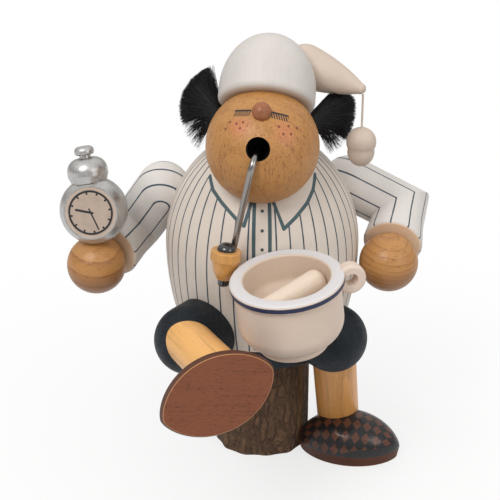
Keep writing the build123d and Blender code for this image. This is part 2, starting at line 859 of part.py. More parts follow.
write_pegs("arm_pegs", arm_pegs)

# Alarm clock: a thick round body with a dial in front and a bell and knob on top
clock_centre = arms["right"]["hand"] + stand * (hand_radius + clock_radius - clock_seat_depth)
clock_frame = rolled(facing(clock_centre, toward(clock_face_bearing, clock_face_elevation)), clock_roll)
bell_frame = facing(clock_centre + clock_frame.y_dir * clock_top_flat, clock_frame.y_dir)
bell_spigot = peg(bell_frame.origin - bell_frame.z_dir * bell_spigot_length, bell_frame.z_dir,
                  bell_spigot_radius, bell_spigot_length)
knob_frame = bell_frame.offset(bell_height)
knob_spigot = peg(knob_frame.origin - knob_frame.z_dir * knob_spigot_length, knob_frame.z_dir,
                  knob_spigot_radius, knob_spigot_length)
dial_back = clock_half_depth - clock_face_recess
with BuildPart() as clock_body:
    corners = [
        (0, -clock_half_depth, 0),
        (clock_radius, -clock_half_depth, clock_back_rounding),
        (clock_radius, clock_shoulder_height, clock_shoulder_rounding),
        (clock_face_radius + clock_lip_width, clock_half_depth, 0),
        (clock_face_radius, clock_half_depth, 0),
        (clock_face_radius, dial_back, 0),
        (0, dial_back, 0),
    ]
    revolve(half_section(clock_frame, corners), axis=axis_of(clock_frame))
    add(peg(bell_frame.origin, bell_frame.z_dir, clock_radius, overrun), mode=Mode.SUBTRACT)
    cut_each([ball(arms["right"]["hand"], hand_radius), clock_peg, bell_spigot])
finish(clock_body, "clock_body")
write_pegs("clock_peg", [clock_peg])

with BuildPart() as clock_dial:
    with BuildSketch(clock_frame.offset(dial_back)):
        Circle(clock_face_radius)
    extrude(amount=clock_dial_thickness)
finish(clock_dial, "clock_dial")

with BuildPart() as clock_bell:
    corners = [
        (0, 0, 0),
        (bell_foot_radius, 0, 0),
        (bell_radius, bell_belly_height, bell_belly_rounding),
        (bell_radius, bell_height, bell_radius - bell_top_radius),
        (0, bell_height, 0),
    ]
    revolve(half_section(bell_frame, corners), axis=axis_of(bell_frame))
    add(knob_spigot, mode=Mode.SUBTRACT)
    add(bell_spigot)
finish(clock_bell, "clock_bell")

with BuildPart() as clock_knob:
    corners = [
        (0, 0, 0),
        (knob_neck_radius, 0, 0),
        (knob_neck_radius, knob_neck_height, 0),
        (knob_radius, knob_neck_height, knob_edge_radius),
        (knob_radius, knob_height, knob_top_rounding),
        (0, knob_height, 0),
    ]
    revolve(half_section(knob_frame, corners), axis=axis_of(knob_frame))
    add(knob_spigot)
finish(clock_knob, "clock_knob")

# Chamber pot, turned from one block with an open pocket on top
pocket_floor = pot_height - pot_pocket_depth
with BuildPart() as chamber_pot:
    groove_top = pot_foot_height + pot_groove_height
    corners = [
        (0, 0, 0),
        (pot_foot_radius, 0, pot_mouth_edge_radius),
        (pot_foot_radius, pot_foot_height, 0),
        (pot_foot_radius - pot_groove_depth, pot_foot_height + pot_groove_height / 2, 0),
        (pot_foot_radius, groove_top, 0),
        (pot_radius, pot_belly_height, pot_belly_rounding),
        (pot_radius, pot_height - pot_rim_height, 0),
        (pot_rim_radius, pot_height - pot_rim_height, pot_rim_edge_radius),
        (pot_rim_radius, pot_height, pot_rim_edge_radius),
        (pot_mouth_radius, pot_height, pot_mouth_edge_radius),
        (pot_mouth_radius, pocket_floor, pot_pocket_corner),
        (0, pocket_floor, 0),
    ]
    revolve(half_section(pot_frame, corners), axis=axis_of(pot_frame))
    add(pot_peg, mode=Mode.SUBTRACT)
pot_form = chamber_pot.part
finish(chamber_pot, "chamber_pot")
write_pegs("pot_peg", [pot_peg])

with BuildPart() as pot_handle:
    turn = radians(handle_turn)
    ring_spot = Vector(handle_reach * cos(turn), handle_reach * sin(turn), handle_rise)
    ring_place = pot_frame.from_local_coords(ring_spot)
    ring_frame = facing(ring_place, toward(handle_bearing, 0)).offset(-handle_thickness / 2)
    corners = [
        (handle_hole_radius, 0, 0),
        (handle_radius, 0, handle_edge_radius),
        (handle_radius, handle_thickness, handle_edge_radius),
        (handle_hole_radius, handle_thickness, 0),
    ]
    revolve(half_section(ring_frame, corners), axis=axis_of(ring_frame))
    add(pot_form, mode=Mode.SUBTRACT)
finish(pot_handle, "pot_handle")

with BuildPart() as pot_filling:
    turn = radians(roll_turn)
    ends = []
    for side, radius in ((1, roll_radius), (-1, roll_thin_radius)):
        reach = side * roll_run / 2
        rise = pocket_floor + radius - roll_seat_depth
        ends.append(pot_frame.from_local_coords(Vector(reach * cos(turn), reach * sin(turn), rise)))
    roll_frame = upright(ends[0], (ends[1] - ends[0]).normalized())
    roll_length = (ends[1] - ends[0]).length
    corners = [
        (0, -roll_radius, 0),
        (roll_radius, -roll_radius, roll_thin_radius),
        (roll_thin_radius, roll_length + roll_thin_radius, roll_radius / 2),
        (0, roll_length + roll_thin_radius, 0),
    ]
    revolve(half_section(roll_frame, corners), axis=axis_of(roll_frame))
    add(pot_form, mode=Mode.SUBTRACT)
finish(pot_filling, "pot_filling")
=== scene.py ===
"""Finish for a turned incense smoker in night dress: wood, paint, hair, cord, light and camera.

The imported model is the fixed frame. Places are written in millimetres in the model's frame,
with the figure looking along -Y, +X on its left hand and +Z up.
"""

import math
import random

import bmesh
import bpy
from bpy.props import FloatProperty, FloatVectorProperty, IntProperty, PointerProperty
from bpy.types import Operator, Panel, PropertyGroup
from mathutils import Matrix, Vector


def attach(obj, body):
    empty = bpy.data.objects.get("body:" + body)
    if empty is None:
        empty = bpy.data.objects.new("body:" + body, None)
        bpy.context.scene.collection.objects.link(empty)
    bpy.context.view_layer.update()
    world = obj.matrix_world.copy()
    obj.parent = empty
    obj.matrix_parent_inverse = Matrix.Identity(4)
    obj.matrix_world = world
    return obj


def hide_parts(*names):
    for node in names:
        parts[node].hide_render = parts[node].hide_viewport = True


bl_info = {
    "name": "Incense Smoker Finish",
    "version": (1, 0, 0),
    "blender": (4, 5, 0),
    "location": "View3D > Sidebar > Smoker",
    "description": "Wood, paint, hair and cord for a turned incense smoker",
    "category": "Object",
}

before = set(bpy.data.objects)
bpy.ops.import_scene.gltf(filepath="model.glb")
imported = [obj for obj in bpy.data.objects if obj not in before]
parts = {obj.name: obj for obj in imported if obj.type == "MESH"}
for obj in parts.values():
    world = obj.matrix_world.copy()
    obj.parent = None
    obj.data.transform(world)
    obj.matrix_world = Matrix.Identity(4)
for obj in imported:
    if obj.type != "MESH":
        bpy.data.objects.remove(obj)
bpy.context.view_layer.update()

MM = 0.001
MERGE_DISTANCE = 0.02 * MM
PAINT_EDGE = 0.22
PHOTO_PIXELS = 500
FOCAL_PIXELS = 1170
SENSOR_WIDTH = 36.0
CAMERA_PLACE = Vector((0.0, -0.55631, 0.33178))
CAMERA_TARGET = Vector((-0.0062, 0.0, 0.10701))

# Body: turned egg, with the foot of its shell and the chamber's radius and top
SHELL_FOOT = 70.1
CHAMBER_RADIUS = 35.0
CHAMBER_TOP = 135.0
EGG_RADIUS = 49.0
EGG_EQUATOR = 112.6
EGG_RISE = 57.5
EGG_DROP = 85.0

# Head: turned ball, painted face
HEAD_CENTRE = Vector((0.0, -35.28, 173.22))
HEAD_RADIUS = 26.5

# On the face: bearings and elevations of the cheeks, the freckles and the corners of the shut eyes,
# each eye with the lean of its lashes
CHEEKS = ((-28.0, 34.0), (26.0, 28.5))
FRECKLES = ((-43.2, 36.7), (-33.1, 36.6), (-25.0, 39.1), (-26.7, 32.7), (-45.6, 28.9),
            (19.5, 35.1), (31.7, 34.3), (42.3, 30.7), (23.1, 27.3), (32.1, 26.2))
EYES = (((-45.4, 49.0), (-18.8, 52.6), 0.35), ((11.3, 51.3), (37.1, 43.9), -0.35))
MOUTH_WAY = Vector((-0.0779, -0.968, 0.2385))
MOUTH_RADIUS = 5.42

# Shirt front: the collar's edge from the neck to its tip as bearings and heights, its inner corner,
# the two lines of the front band as bearings above and below, the height where they turn straight,
# the bearing to each side that the stripes leave plain, and the buttons
COLLAR = {
    1: [(50, 155.1), (40, 149.6), (31.5, 145), (21.6, 140), (13.1, 135.4)],
    -1: [(-48.2, 154.3), (-38.8, 149.6), (-28.2, 145.3), (-16.5, 139.5), (-11.1, 136.8)],
}
COLLAR_CORNER = (6.6, 148.5)
BAND_LINES = ((-5.4, -4.3), (4.9, 4.0))
BAND_STRAIGHT = 105.0
BAND_PLAIN = 7.0
FIRST_SHIRT_STRIPE = 8.2
BAND_HEIGHTS = (150.0, 141.0, 132.0, 120.0, 106.0, 92.0, 72.0)
BUTTON_HEIGHTS = (143.4, 134.9, 126.3, 116.6, 107.0, 97.0, 87.0)

# Log: the way that its strip without bark faces
BARE_STRIP = 56.0

# Sleeves: two mitred cylinders each, with the stripes carried round the elbow
ARMS = {
    "right": {
        "elbow": Vector((-65.94, 25.01, 112.51)),
        "upper": Vector((-0.4839, 0.4311, -0.7615)),
        "fore": Vector((-0.4305, -0.875, -0.2215)),
        "first_stripe": 9.0,
        "shoulder_turn": -117.0,
    },
    "left": {
        "elbow": Vector((72.95, 27.26, 120.2)),
        "upper": Vector((0.8876, -0.0201, -0.4602)),
        "fore": Vector((-0.2196, -0.9008, -0.3746)),
        "first_stripe": 33.0,
        "shoulder_turn": 123.0,
    },
}
SLEEVE_STRIPES = 10
SLEEVE_RADIUS = 13.85
UPPER_ARM_REACH = 31.5
CUFF_REACH = 27.7

# Clock: centre and its two ways, then radii and the turn of the dial's marks, and its painted hands,
# each a start, an end and a half width
CLOCK_CENTRE = Vector((-83.14, -12.52, 133.29))
CLOCK_UP = Vector((-0.147, 0.181, 0.9725))
CLOCK_FACE = Vector((-0.0704, -0.9826, 0.1719))
DIAL_RING = 10.55
DIAL_TICKS = (8.9, 10.6)
DIAL_TURN = 2.0
DIAL_RIM = 11.6
DIAL_HANDS = (((0.9, -0.3, 0), (-6.9, 2.3, 0), 0.55), ((-0.5, 1.9, 0), (2.6, -8.6, 0), 0.36))

# Pot: foot and ways, the painted line's height and half width, the radii inside and outside its wall
POT_FOOT = Vector((14.89, -70.4, 89.04))
POT_AXIS = Vector((-0.1092, -0.1191, 0.9869))
POT_ACROSS = Vector((0.9939, 0.0, 0.11))
POT_LINE_HEIGHT = 33.6
POT_LINE_HALF = 1.0
POT_WALL = (22.0, 25.4)
# Pot rim's top, from this height and reach, is painted with cool light
POT_RIM_HEIGHT = 35.0
POT_RIM_REACH = 20.2

# Small turned pieces: a place on the axis and its way
CAP = ((1.5, -23.06, 188.59), (0.0762, 0.6206, 0.7804))
CAP_TAIL = ((20.53, 2.83, 202.03), (0.8524, -0.4609, -0.247))
ROLL = ((22.77, -65.93, 116.89), (-0.7981, -0.5607, -0.2206))
PIPE_BOWL = ((-16.4, -57, 130), (0.0982, 0.0358, 0.9945))

# Legs: the way of each shin's grain and its tone, the way of the grain in seat and thighs
SHINS = (("right_shin", (0.4709, -0.882, -0.0175), (0.86, 0.46, 0.15)),
         ("left_shin", (-0.088, -0.433, 0.897), (0.78, 0.37, 0.11)))
TROUSERS = (("seat_base", (1, 0, 0)), ("right_thigh", (0.2, -0.9, 0.3)), ("left_thigh", (0, 0.3, 1)))

# Hands: centre, width and strength of the growth rings
HANDS = (("right_hand", (-83.68, -11.04, 103.38), 6.4, 0.6),
         ("left_hand", (63.9, -9.85, 104.77), 2.7, 0.5))

# Shoes: middle of the sole on its lower face, ways of the toe and of the top, height of the sole's
# band, girth of the upper for each radian that the checks run round, and the form of the outline
SOLE_BAND = 6.0
UPPER_GIRTH = 11.5
CHECK_START = 40.0
SHOES = {
    "left": {
        "place": Vector((46.2, -18.6, 0.0)),
        "toe": Vector((0.9768, -0.2141, 0.0)),
        "top": Vector((0.0, 0.0, 1.0)),
    },
    "right": {
        "place": Vector((-18.31, -116.6, 87.2)),
        "toe": Vector((-0.8915, -0.2826, -0.3541)),
        "top": Vector((-0.14, 0.9152, -0.3778)),
    },
}
SHOE_HALF_LENGTH = 27.0
SHOE_HALF_WIDTH = 17.2
SHOE_FULLNESS = 0.64
SHOE_RISE = 0.97
SOLE_INSET = 1.2
SHOE_GRAIN_TURN = 26.0
SHOE_SHARP_ANGLE = 32.0

# Nose ball: radius, reach of its centre from the head's centre, bearing and elevation
NOSE_RADIUS = 4.3
NOSE_REACH = HEAD_RADIUS + 1.0
NOSE_WAY = (-1.6, 50.6)

# Hair: root and way out of the head, the waist out and up from the root where each tuft opens,
# and its cut as angle and reach from the waist, from the top down to the thin lower fringe
TUFTS = {
    "right": {"root": Vector((-16.34, -22.05, 177.69)), "out": Vector((-0.7986, 0.6018, 0.0)),
              "waist": (6.0, 11.1), "thin": 0.74,
              "cut": ((82, 18), (48, 17.5), (20, 19.5), (-10, 24), (-40, 27), (-64, 27.5))},
    "left": {"root": Vector((16.34, -22.05, 177.69)), "out": Vector((0.7986, 0.6018, 0.0)),
             "waist": (11.0, 5.6), "thin": 0.78,
             "cut": ((50, 9), (26, 17.5), (9, 24.5), (-18, 25.5), (-42, 25.5), (-66, 24))},
}

# Tassel: tip of the cap's tail, and the pompom's drop below it and turned profile
TASSEL_PIVOT = Vector((47.7, -11.91, 192.01))
POMPOM_DROP = 16.3
POMPOM_HEIGHT = 19.4
POMPOM_BALL = 7.25
POMPOM_WAIST = 3.3
POMPOM_FOOT = 6.6
POMPOM_FOOT_HEIGHT = 7.3


def toward(bearing, elevation):
    """Returns the unit way at a bearing from the figure's front, toward its left, and an elevation."""
    side, rise = math.radians(bearing), math.radians(elevation)
    return Vector((math.sin(side) * math.cos(rise), -math.cos(side) * math.cos(rise), math.sin(rise)))


def on_head(bearing, elevation):
    """Returns the place on the head's surface at a bearing and an elevation."""
    return HEAD_CENTRE + HEAD_RADIUS * toward(bearing, elevation)


def on_body(bearing, height):
    """Returns the place on the body's surface at a bearing and a height."""
    half = EGG_RISE if height > EGG_EQUATOR else EGG_DROP
    reach = EGG_RADIUS * math.sqrt(1 - ((height - EGG_EQUATOR) / half) ** 2)
    side = math.radians(bearing)
    return Vector((reach * math.sin(side), -reach * math.cos(side), height))


def colour_property(name, description, *default):
    """Returns a colour that the user can change."""
    return FloatVectorProperty(name=name, description=description, default=default, size=3, min=0, max=1,
                               subtype="COLOR")


def length_property(name, description, default):
    """Returns a length in metres that the user can change."""
    return FloatProperty(name=name, description=description, default=default, min=0, subtype="DISTANCE",
                         unit="LENGTH")


class Colours(PropertyGroup):
    """Paint, stain and wood colours, as linear values."""

    shirt: colour_property("Shirt", "Off-white paint of the night shirt", 0.70, 0.62, 0.545)
    sleeve: colour_property("Sleeve", "Cooler off-white paint of the sleeves", 0.72, 0.68, 0.645)
    stripe: colour_property("Stripe", "Paint of the thin stripes", 0.030, 0.055, 0.085)
    collar: colour_property("Collar Line", "Paint of the collar and front lines", 0.045, 0.090, 0.105)
    cap: colour_property("Cap", "Off-white paint of the nightcap", 0.63, 0.59, 0.555)
    tail: colour_property("Cap Tail", "Cream paint of the tail and pompom", 0.60, 0.49, 0.405)
    honey: colour_property("Honey Beech", "Oiled beech of the head and hands", 0.50, 0.238, 0.070)
    honey_dark: colour_property("Honey Beech Grain", "Dark grain of head and hands", 0.24, 0.080, 0.020)
    pale: colour_property("Pale Beech", "Bare beech of dowels, log ends and shell", 0.70, 0.44, 0.18)
    nose: colour_property("Nose", "Red-brown wood of the nose", 0.33, 0.110, 0.036)
    navy: colour_property("Navy Stain", "Matt stain of the trousers", 0.007, 0.011, 0.016)
    sole: colour_property("Sole", "Red-brown stain of the soles and checks", 0.185, 0.060, 0.028)
    shoe: colour_property("Shoe", "Black of the checked shoes", 0.012, 0.011, 0.012)
    bark: colour_property("Bark", "Raised bark of the log", 0.24, 0.135, 0.072)
    bark_dark: colour_property("Bark Furrow", "Furrows in the bark", 0.075, 0.041, 0.023)
    pot: colour_property("Pot", "White paint of the chamber pot", 0.74, 0.60, 0.50)
    pot_line: colour_property("Pot Line", "Blue line under the pot's rim", 0.003, 0.008, 0.050)
    roll: colour_property("Roll", "Bare pale wood of the roll in the pot", 0.79, 0.66, 0.54)
    silver: colour_property("Silver", "Silver bronze paint of the clock", 0.52, 0.51, 0.50)
    dial: colour_property("Dial", "Pale ground of the clock's dial", 0.50, 0.395, 0.32)
    bowl: colour_property("Pipe Bowl", "Yellow wood of the pipe's bowl", 0.64, 0.315, 0.080)
    black: colour_property("Black", "Black lacquer, lashes and dial marks", 0.008, 0.008, 0.010)
    hair: colour_property("Hair", "Black fibre of the hair", 0.006, 0.006, 0.007)


class Sizes(PropertyGroup):
    """Sizes of the painted work, the hair and the cord."""

    stripes: IntProperty(name="Shirt Stripes", description="Stripes round the body", default=44, min=8)
    stripe_width: length_property("Stripe Width", "Width of one thin stripe", 0.0007)
    collar_width: length_property("Collar Line Width", "Width of the collar's line", 0.00175)
    button: length_property("Button Radius", "Radius of a painted button", 0.0008)
    freckle: length_property("Freckle Radius", "Radius of a painted freckle", 0.0006)
    check: length_property("Shoe Check", "Side of one square on the shoes", 0.0052)
    strands: IntProperty(name="Hair Strands", description="Strands in each tuft", default=3600, min=10)
    strand: length_property("Strand Thickness", "Thickness of a strand at its root", 0.00034)
    cord: length_property("Cord Diameter", "Diameter of the tassel's cord", 0.001)
    cord_length: length_property("Cord Length", "Length of the tassel's cord", 0.031)
    key_power: FloatProperty(name="Key Light", description="Power of the soft light above the front",
                             default=5.5, min=0, subtype="POWER", unit="POWER")
    world_level: FloatProperty(name="Room Light", description="Level of the light from all round",
                               default=0.95, min=0)


def colours():
    return bpy.context.scene.smoker_colours


def sizes():
    return bpy.context.scene.smoker_sizes


class Signal:
    """A value that runs through a shader tree. Plain arithmetic with it adds the nodes for it."""

    def __init__(self, wires, socket):
        self.wires, self.socket = wires, socket

    def __add__(self, other):
        return self.wires.math("ADD", self, other)

    def __sub__(self, other):
        return self.wires.math("SUBTRACT", self, other)

    def __rsub__(self, other):
        return self.wires.math("SUBTRACT", other, self)

    def __mul__(self, other):
        return self.wires.math("MULTIPLY", self, other)

    def __truediv__(self, other):
        return self.wires.math("DIVIDE", self, other)

    def __abs__(self):
        return self.wires.math("ABSOLUTE", self)

    __radd__, __rmul__ = __add__, __mul__


class Wiring:
    """Adds nodes to one shader tree. A value may be a number, a tuple, a signal or a socket."""

    def __init__(self, tree):
        self.tree = tree

    def add(self, kind, **settings):
        node = self.tree.nodes.new(kind)
        for name, value in settings.items():
            setattr(node, name, value)
        return node

    def find(self, kind):
        """Returns the tree's own node of a kind."""
        return next(node for node in self.tree.nodes if node.type == kind)

    def feed(self, socket, value):
        if isinstance(value, Signal):
            value = value.socket
        if isinstance(value, bpy.types.NodeSocket):
            self.tree.links.new(value, socket)
        elif socket.type == "RGBA":
            socket.default_value = (*value[:3], 1.0)
        else:
            socket.default_value = value

    def math(self, operation, *values):
        node = self.add("ShaderNodeMath", operation=operation)
        for socket, value in zip(node.inputs, values):
            self.feed(socket, value)
        return Signal(self, node.outputs[0])

    def within(self, value, low, high):
        """Returns a mask of one below the low value that fades to nothing at the high one."""
        return self.ramp(value, low, high, 1.0, 0.0)

    def out_from_axis(self, place):
        """Returns the distance of a place from the local Z axis."""
        x, y = self.split(place)[:2]
        return self.vector("LENGTH", self.join(x, y, 0.0))

    def vector(self, operation, *values):
        node = self.add("ShaderNodeVectorMath", operation=operation)
        for socket, value in zip(node.inputs, values):
            self.feed(socket, value)
        single = operation in {"LENGTH", "DISTANCE", "DOT_PRODUCT"}
        return Signal(self, node.outputs["Value" if single else "Vector"])

    def stretched(self, vector, factors):
        return self.vector("MULTIPLY", vector, factors)

    def split(self, vector):
        node = self.add("ShaderNodeSeparateXYZ")
        self.feed(node.inputs[0], vector)
        return [Signal(self, socket) for socket in node.outputs]

    def join(self, x, y, z):
        node = self.add("ShaderNodeCombineXYZ")
        for socket, value in zip(node.inputs, (x, y, z)):
            self.feed(socket, value)
        return Signal(self, node.outputs[0])

    def mix(self, factor, first, second):
        node = self.add("ShaderNodeMix", data_type="RGBA")
        self.feed(node.inputs[0], factor)
        self.feed(node.inputs[6], first)
        self.feed(node.inputs[7], second)
        return Signal(self, node.outputs[2])

    def ramp(self, value, low, high, bottom=0.0, top=1.0):
        node = self.add("ShaderNodeMapRange", interpolation_type="SMOOTHSTEP")
        for name, number in (("Value", value), ("From Min", low), ("From Max", high),
                             ("To Min", bottom), ("To Max", top)):
            self.feed(node.inputs[name], number)
        return Signal(self, node.outputs["Result"])

    def noise(self, vector, scale, detail=2.0, roughness=0.5):
        node = self.add("ShaderNodeTexNoise")
        for name, value in (("Vector", vector), ("Scale", scale), ("Detail", detail),
                            ("Roughness", roughness)):
            self.feed(node.inputs[name], value)
        return Signal(self, node.outputs[0])

    def most(self, masks):
        result = masks[0]
        for mask in masks[1:]:
            result = self.math("MAXIMUM", result, mask)
        return result

    def use(self, maker, **values):
        """Places a shared group. Names of its sockets are written with underscores for spaces."""
        node = self.add("ShaderNodeGroup")
        node.node_tree = shared(maker)
        for name, value in values.items():
            self.feed(node.inputs[name.replace("_", " ")], value)
        return {socket.name: Signal(self, socket) for socket in node.outputs}


def shared_group(name, takes, gives):
    """Starts a shader node group and returns it with its wiring and its inner sockets.

    An input's default says its kind: one number, three for a vector or four for a colour.
    """
    group = bpy.data.node_groups.new(name, "ShaderNodeTree")
    for label, default in takes.items():
        size = len(default) if isinstance(default, tuple) else 1
        kind = {1: "NodeSocketFloat", 3: "NodeSocketVector", 4: "NodeSocketColor"}[size]
        group.interface.new_socket(name=label, in_out="INPUT", socket_type=kind).default_value = default
    for label in gives:
        kind = "NodeSocketColor" if label == "Color" else "NodeSocketFloat"
        group.interface.new_socket(name=label, in_out="OUTPUT", socket_type=kind)
    wires = Wiring(group)
    take = {socket.name: Signal(wires, socket) for socket in wires.add("NodeGroupInput").outputs}
    return group, wires, take, wires.add("NodeGroupOutput").inputs


def turned_wood():
    """Beech: growth rings round a pith, long streaks and short ray flecks along the grain (local Z)."""
    group, w, take, give = shared_group(
        "Turned Wood",
        {"Place": (0, 0, 0), "Pale": (0.7, 0.5, 0.25, 1), "Dark": (0.35, 0.15, 0.05, 1),
         "Pith": (0, 0, 0), "Ring Width": 4.0, "Rings": 0.5, "Flecks": 0.5, "Streaks": 0.4},
        ("Color", "Roughness", "Height"))
    place = take["Place"]
    wander = w.noise(w.stretched(place, (1, 1, 0.3)), 0.05, 3) * 5.0
    across = w.stretched(w.vector("SUBTRACT", place, take["Pith"]), (1, 1, 0.04))
    depth = w.vector("LENGTH", across) + wander
    ring = w.math("POWER", w.math("FRACT", depth / take["Ring Width"]), 3.0)
    ring = ring * take["Rings"]
    streak = w.ramp(w.noise(w.stretched(place, (1, 1, 0.05)), 0.55, 5, 0.6), 0.35, 0.75)
    streak = streak * take["Streaks"]
    fleck = w.ramp(w.noise(w.stretched(place, (1.0, 1.0, 0.20)), 2.1, 2), 0.56, 0.70)
    fleck = fleck * take["Flecks"]
    amount = ring + streak + fleck
    cloud = w.ramp(w.noise(place, 0.045, 2), 0.3, 0.7, -0.08, 0.10)
    amount = w.ramp(amount + cloud, 0.0, 1.15)
    w.feed(give["Color"], w.mix(amount, take["Pale"], take["Dark"]))
    w.feed(give["Roughness"], 0.4 + amount * 0.16)
    w.feed(give["Height"], 1.0 - (fleck + streak * 0.5))
    return group


def brushed_paint():
    """Thin matt paint over turned wood: uneven cover, brush marks and the grain just showing."""
    group, w, take, give = shared_group(
        "Brushed Paint",
        {"Place": (0, 0, 0), "Paint": (0.7, 0.65, 0.6, 1), "Thin Paint": (0.6, 0.5, 0.4, 1),
         "Unevenness": 0.35, "Grain": 0.2},
        ("Color", "Roughness", "Height"))
    place = take["Place"]
    cloud = w.ramp(w.noise(place, 0.05, 4, 0.55), 0.38, 0.72)
    grain = w.ramp(w.noise(w.stretched(place, (1, 1, 0.06)), 0.9, 4, 0.6), 0.45, 0.75)
    amount = cloud * take["Unevenness"] + grain * take["Grain"]
    w.feed(give["Color"], w.mix(amount, take["Paint"], take["Thin Paint"]))
    w.feed(give["Roughness"], w.ramp(w.noise(place, 0.4, 3), 0.3, 0.7, 0.48, 0.62))
    brush = w.noise(w.stretched(place, (1, 1, 0.15)), 2.2, 3)
    w.feed(give["Height"], brush - grain * 0.6)
    return group


def painted_stripes():
    """Even stripes along local Z: the mask is one within a half width of each."""
    group, w, take, give = shared_group(
        "Painted Stripes",
        {"Place": (0, 0, 0), "Count": 10.0, "First Stripe": 0.0, "Half Width": 0.35},
        ("Mask",))
    x, y, z = w.split(take["Place"])
    turn = (w.math("ARCTAN2", y, x) - take["First Stripe"]) / math.tau
    step = w.math("FRACT", turn * take["Count"] + 0.5)
    radius = w.vector("LENGTH", w.join(x, y, 0.0))
    pitch = radius * math.tau / take["Count"]
    away = abs(step - 0.5) * pitch
    hand = w.noise(w.join(x, y, z * 0.4), 0.5, 1) * 0.16
    w.feed(give["Mask"], w.within(away + hand, take["Half Width"], take["Half Width"] + PAINT_EDGE))
    return group


def painted_line():
    """One straight brush line between two places."""
    group, w, take, give = shared_group(
        "Painted Line",
        {"Place": (0, 0, 0), "Start": (0, 0, 0), "End": (1, 0, 0), "Half Width": 0.5},
        ("Mask",))
    run = w.vector("SUBTRACT", take["End"], take["Start"])
    reach = w.vector("SUBTRACT", take["Place"], take["Start"])
    share = w.vector("DOT_PRODUCT", reach, run) / w.vector("DOT_PRODUCT", run, run)
    share = w.math("MINIMUM", w.math("MAXIMUM", share, 0.0), 1.0)
    nearest = w.vector("MULTIPLY", run, w.join(share, share, share))
    away = w.vector("DISTANCE", reach, nearest)
    w.feed(give["Mask"], w.within(away, take["Half Width"] - 0.08, take["Half Width"] + 0.12))
    return group


def painted_spot():
    """One round dab of paint with a soft edge."""
    group, w, take, give = shared_group(
        "Painted Spot",
        {"Place": (0, 0, 0), "Centre": (0, 0, 0), "Radius": 1.0, "Softness": 0.3},
        ("Mask",))
    away = w.vector("DISTANCE", take["Place"], take["Centre"])
    w.feed(give["Mask"], w.within(away, take["Radius"] - take["Softness"],
                                  take["Radius"] + take["Softness"]))
    return group


def lash_fan():
    """A shut eye: a bowed lid line along local X with lashes hanging from it."""
    group, w, take, give = shared_group(
        "Lash Fan",
        {"Place": (0, 0, 0), "Half Length": 4.0, "Bow": 0.02, "Lash Length": 3.1, "Lean": 0.3,
         "Pitch": 1.15},
        ("Mask",))
    x, y, z = w.split(take["Place"])
    lid = x * x * take["Bow"]
    rise = y - lid
    inside = w.within(abs(x), take["Half Length"], take["Half Length"] + 0.2)
    line = w.within(abs(rise), 0.38, 0.55)
    leant = (x - rise * take["Lean"]) / take["Pitch"]
    beside = abs(w.math("FRACT", leant) - 0.5)
    lash = w.within(beside * take["Pitch"], 0.24, 0.36)
    below = w.within(rise, -0.1, 0.1) * w.ramp(rise + take["Lash Length"], -0.15, 0.15)
    mark = w.math("MAXIMUM", line, lash * below)
    mark = mark * inside
    w.feed(give["Mask"], mark * w.ramp(z, -4.0, -3.5))
    return group


def handling_wear():
    """Sparse rubbed specks and soft dull patches left by handling."""
    group, w, take, give = shared_group(
        "Handling Wear",
        {"Place": (0, 0, 0), "Amount": 0.3},
        ("Mask", "Dullness"))
    specks = w.ramp(w.noise(take["Place"], 1.6, 3, 0.7), 0.70, 0.78)
    areas = w.ramp(w.noise(take["Place"], 0.09, 2), 0.5, 0.7)
    w.feed(give["Mask"], specks * areas * take["Amount"])
    w.feed(give["Dullness"], w.ramp(w.noise(take["Place"], 0.16, 4), 0.35, 0.7) * 0.12)
    return group


GROUPS = {}


def shared(maker):
    """Builds a shared group the first time it is asked for."""
    if maker not in GROUPS:
        GROUPS[maker] = maker()
    return GROUPS[maker]


def tuned(colour, factor):
    """Returns a colour made darker or lighter by one factor."""
    return tuple(min(1.0, channel * factor) for channel in colour)


class Finish(Wiring):
    """One material: a Principled shader and the wiring that feeds it."""

    def __init__(self, name, **uniform):
        self.material = bpy.data.materials.new(name)
        self.material.use_nodes = True
        super().__init__(self.material.node_tree)
        self.shader = self.find("BSDF_PRINCIPLED")
        self.coordinates = self.add("ShaderNodeTexCoord").outputs["Object"]
        for label, value in uniform.items():
            self.shader.inputs[label.replace("_", " ")].default_value = value

    def place(self, origin=(0, 0, 0), z=(0, 0, 1), x=(1, 0, 0)):
        """Returns the place in millimetres in a frame with that origin, Z way and X way."""
        up = Vector(z).normalized()
        side = Vector(x) - up * Vector(x).dot(up)
        side.normalize()
        turn = Matrix((side, up.cross(side), up)).transposed()
        node = self.add("ShaderNodeMapping", vector_type="TEXTURE")
        self.feed(node.inputs["Vector"], self.coordinates)
        node.inputs["Location"].default_value = Vector(origin) * MM
        node.inputs["Rotation"].default_value = turn.to_euler("XYZ")
        node.inputs["Scale"].default_value = (MM, MM, MM)
        return node.outputs[0]

    def colour(self, value):
        self.feed(self.shader.inputs["Base Color"], value)

    def roughness(self, value):
        self.feed(self.shader.inputs["Roughness"], value)

    def relief(self, height, depth, strength=1.0):
        """Raises the surface by a height mask; the depth is in millimetres."""
        bump = self.add("ShaderNodeBump")
        bump.inputs["Strength"].default_value = strength
        bump.inputs["Distance"].default_value = depth * MM
        self.feed(bump.inputs["Height"], height)
        self.feed(self.shader.inputs["Normal"], bump.outputs[0])

    def spots(self, place, centres, radius, softness):
        """Returns the mask of round dabs of paint at places."""
        return self.most([self.use(painted_spot, Place=place, Centre=centre, Radius=radius,
                                   Softness=softness)["Mask"] for centre in centres])

    def lines(self, place, runs):
        """Returns the masks of brush lines, each a start, an end and a half width."""
        return [self.use(painted_line, Place=place, Start=start, End=end, Half_Width=half)["Mask"]
                for start, end, half in runs]

    def over(self, mask, top, base):
        """Returns the base colour with another painted over it by a mask."""
        return self.mix(mask, base, top)


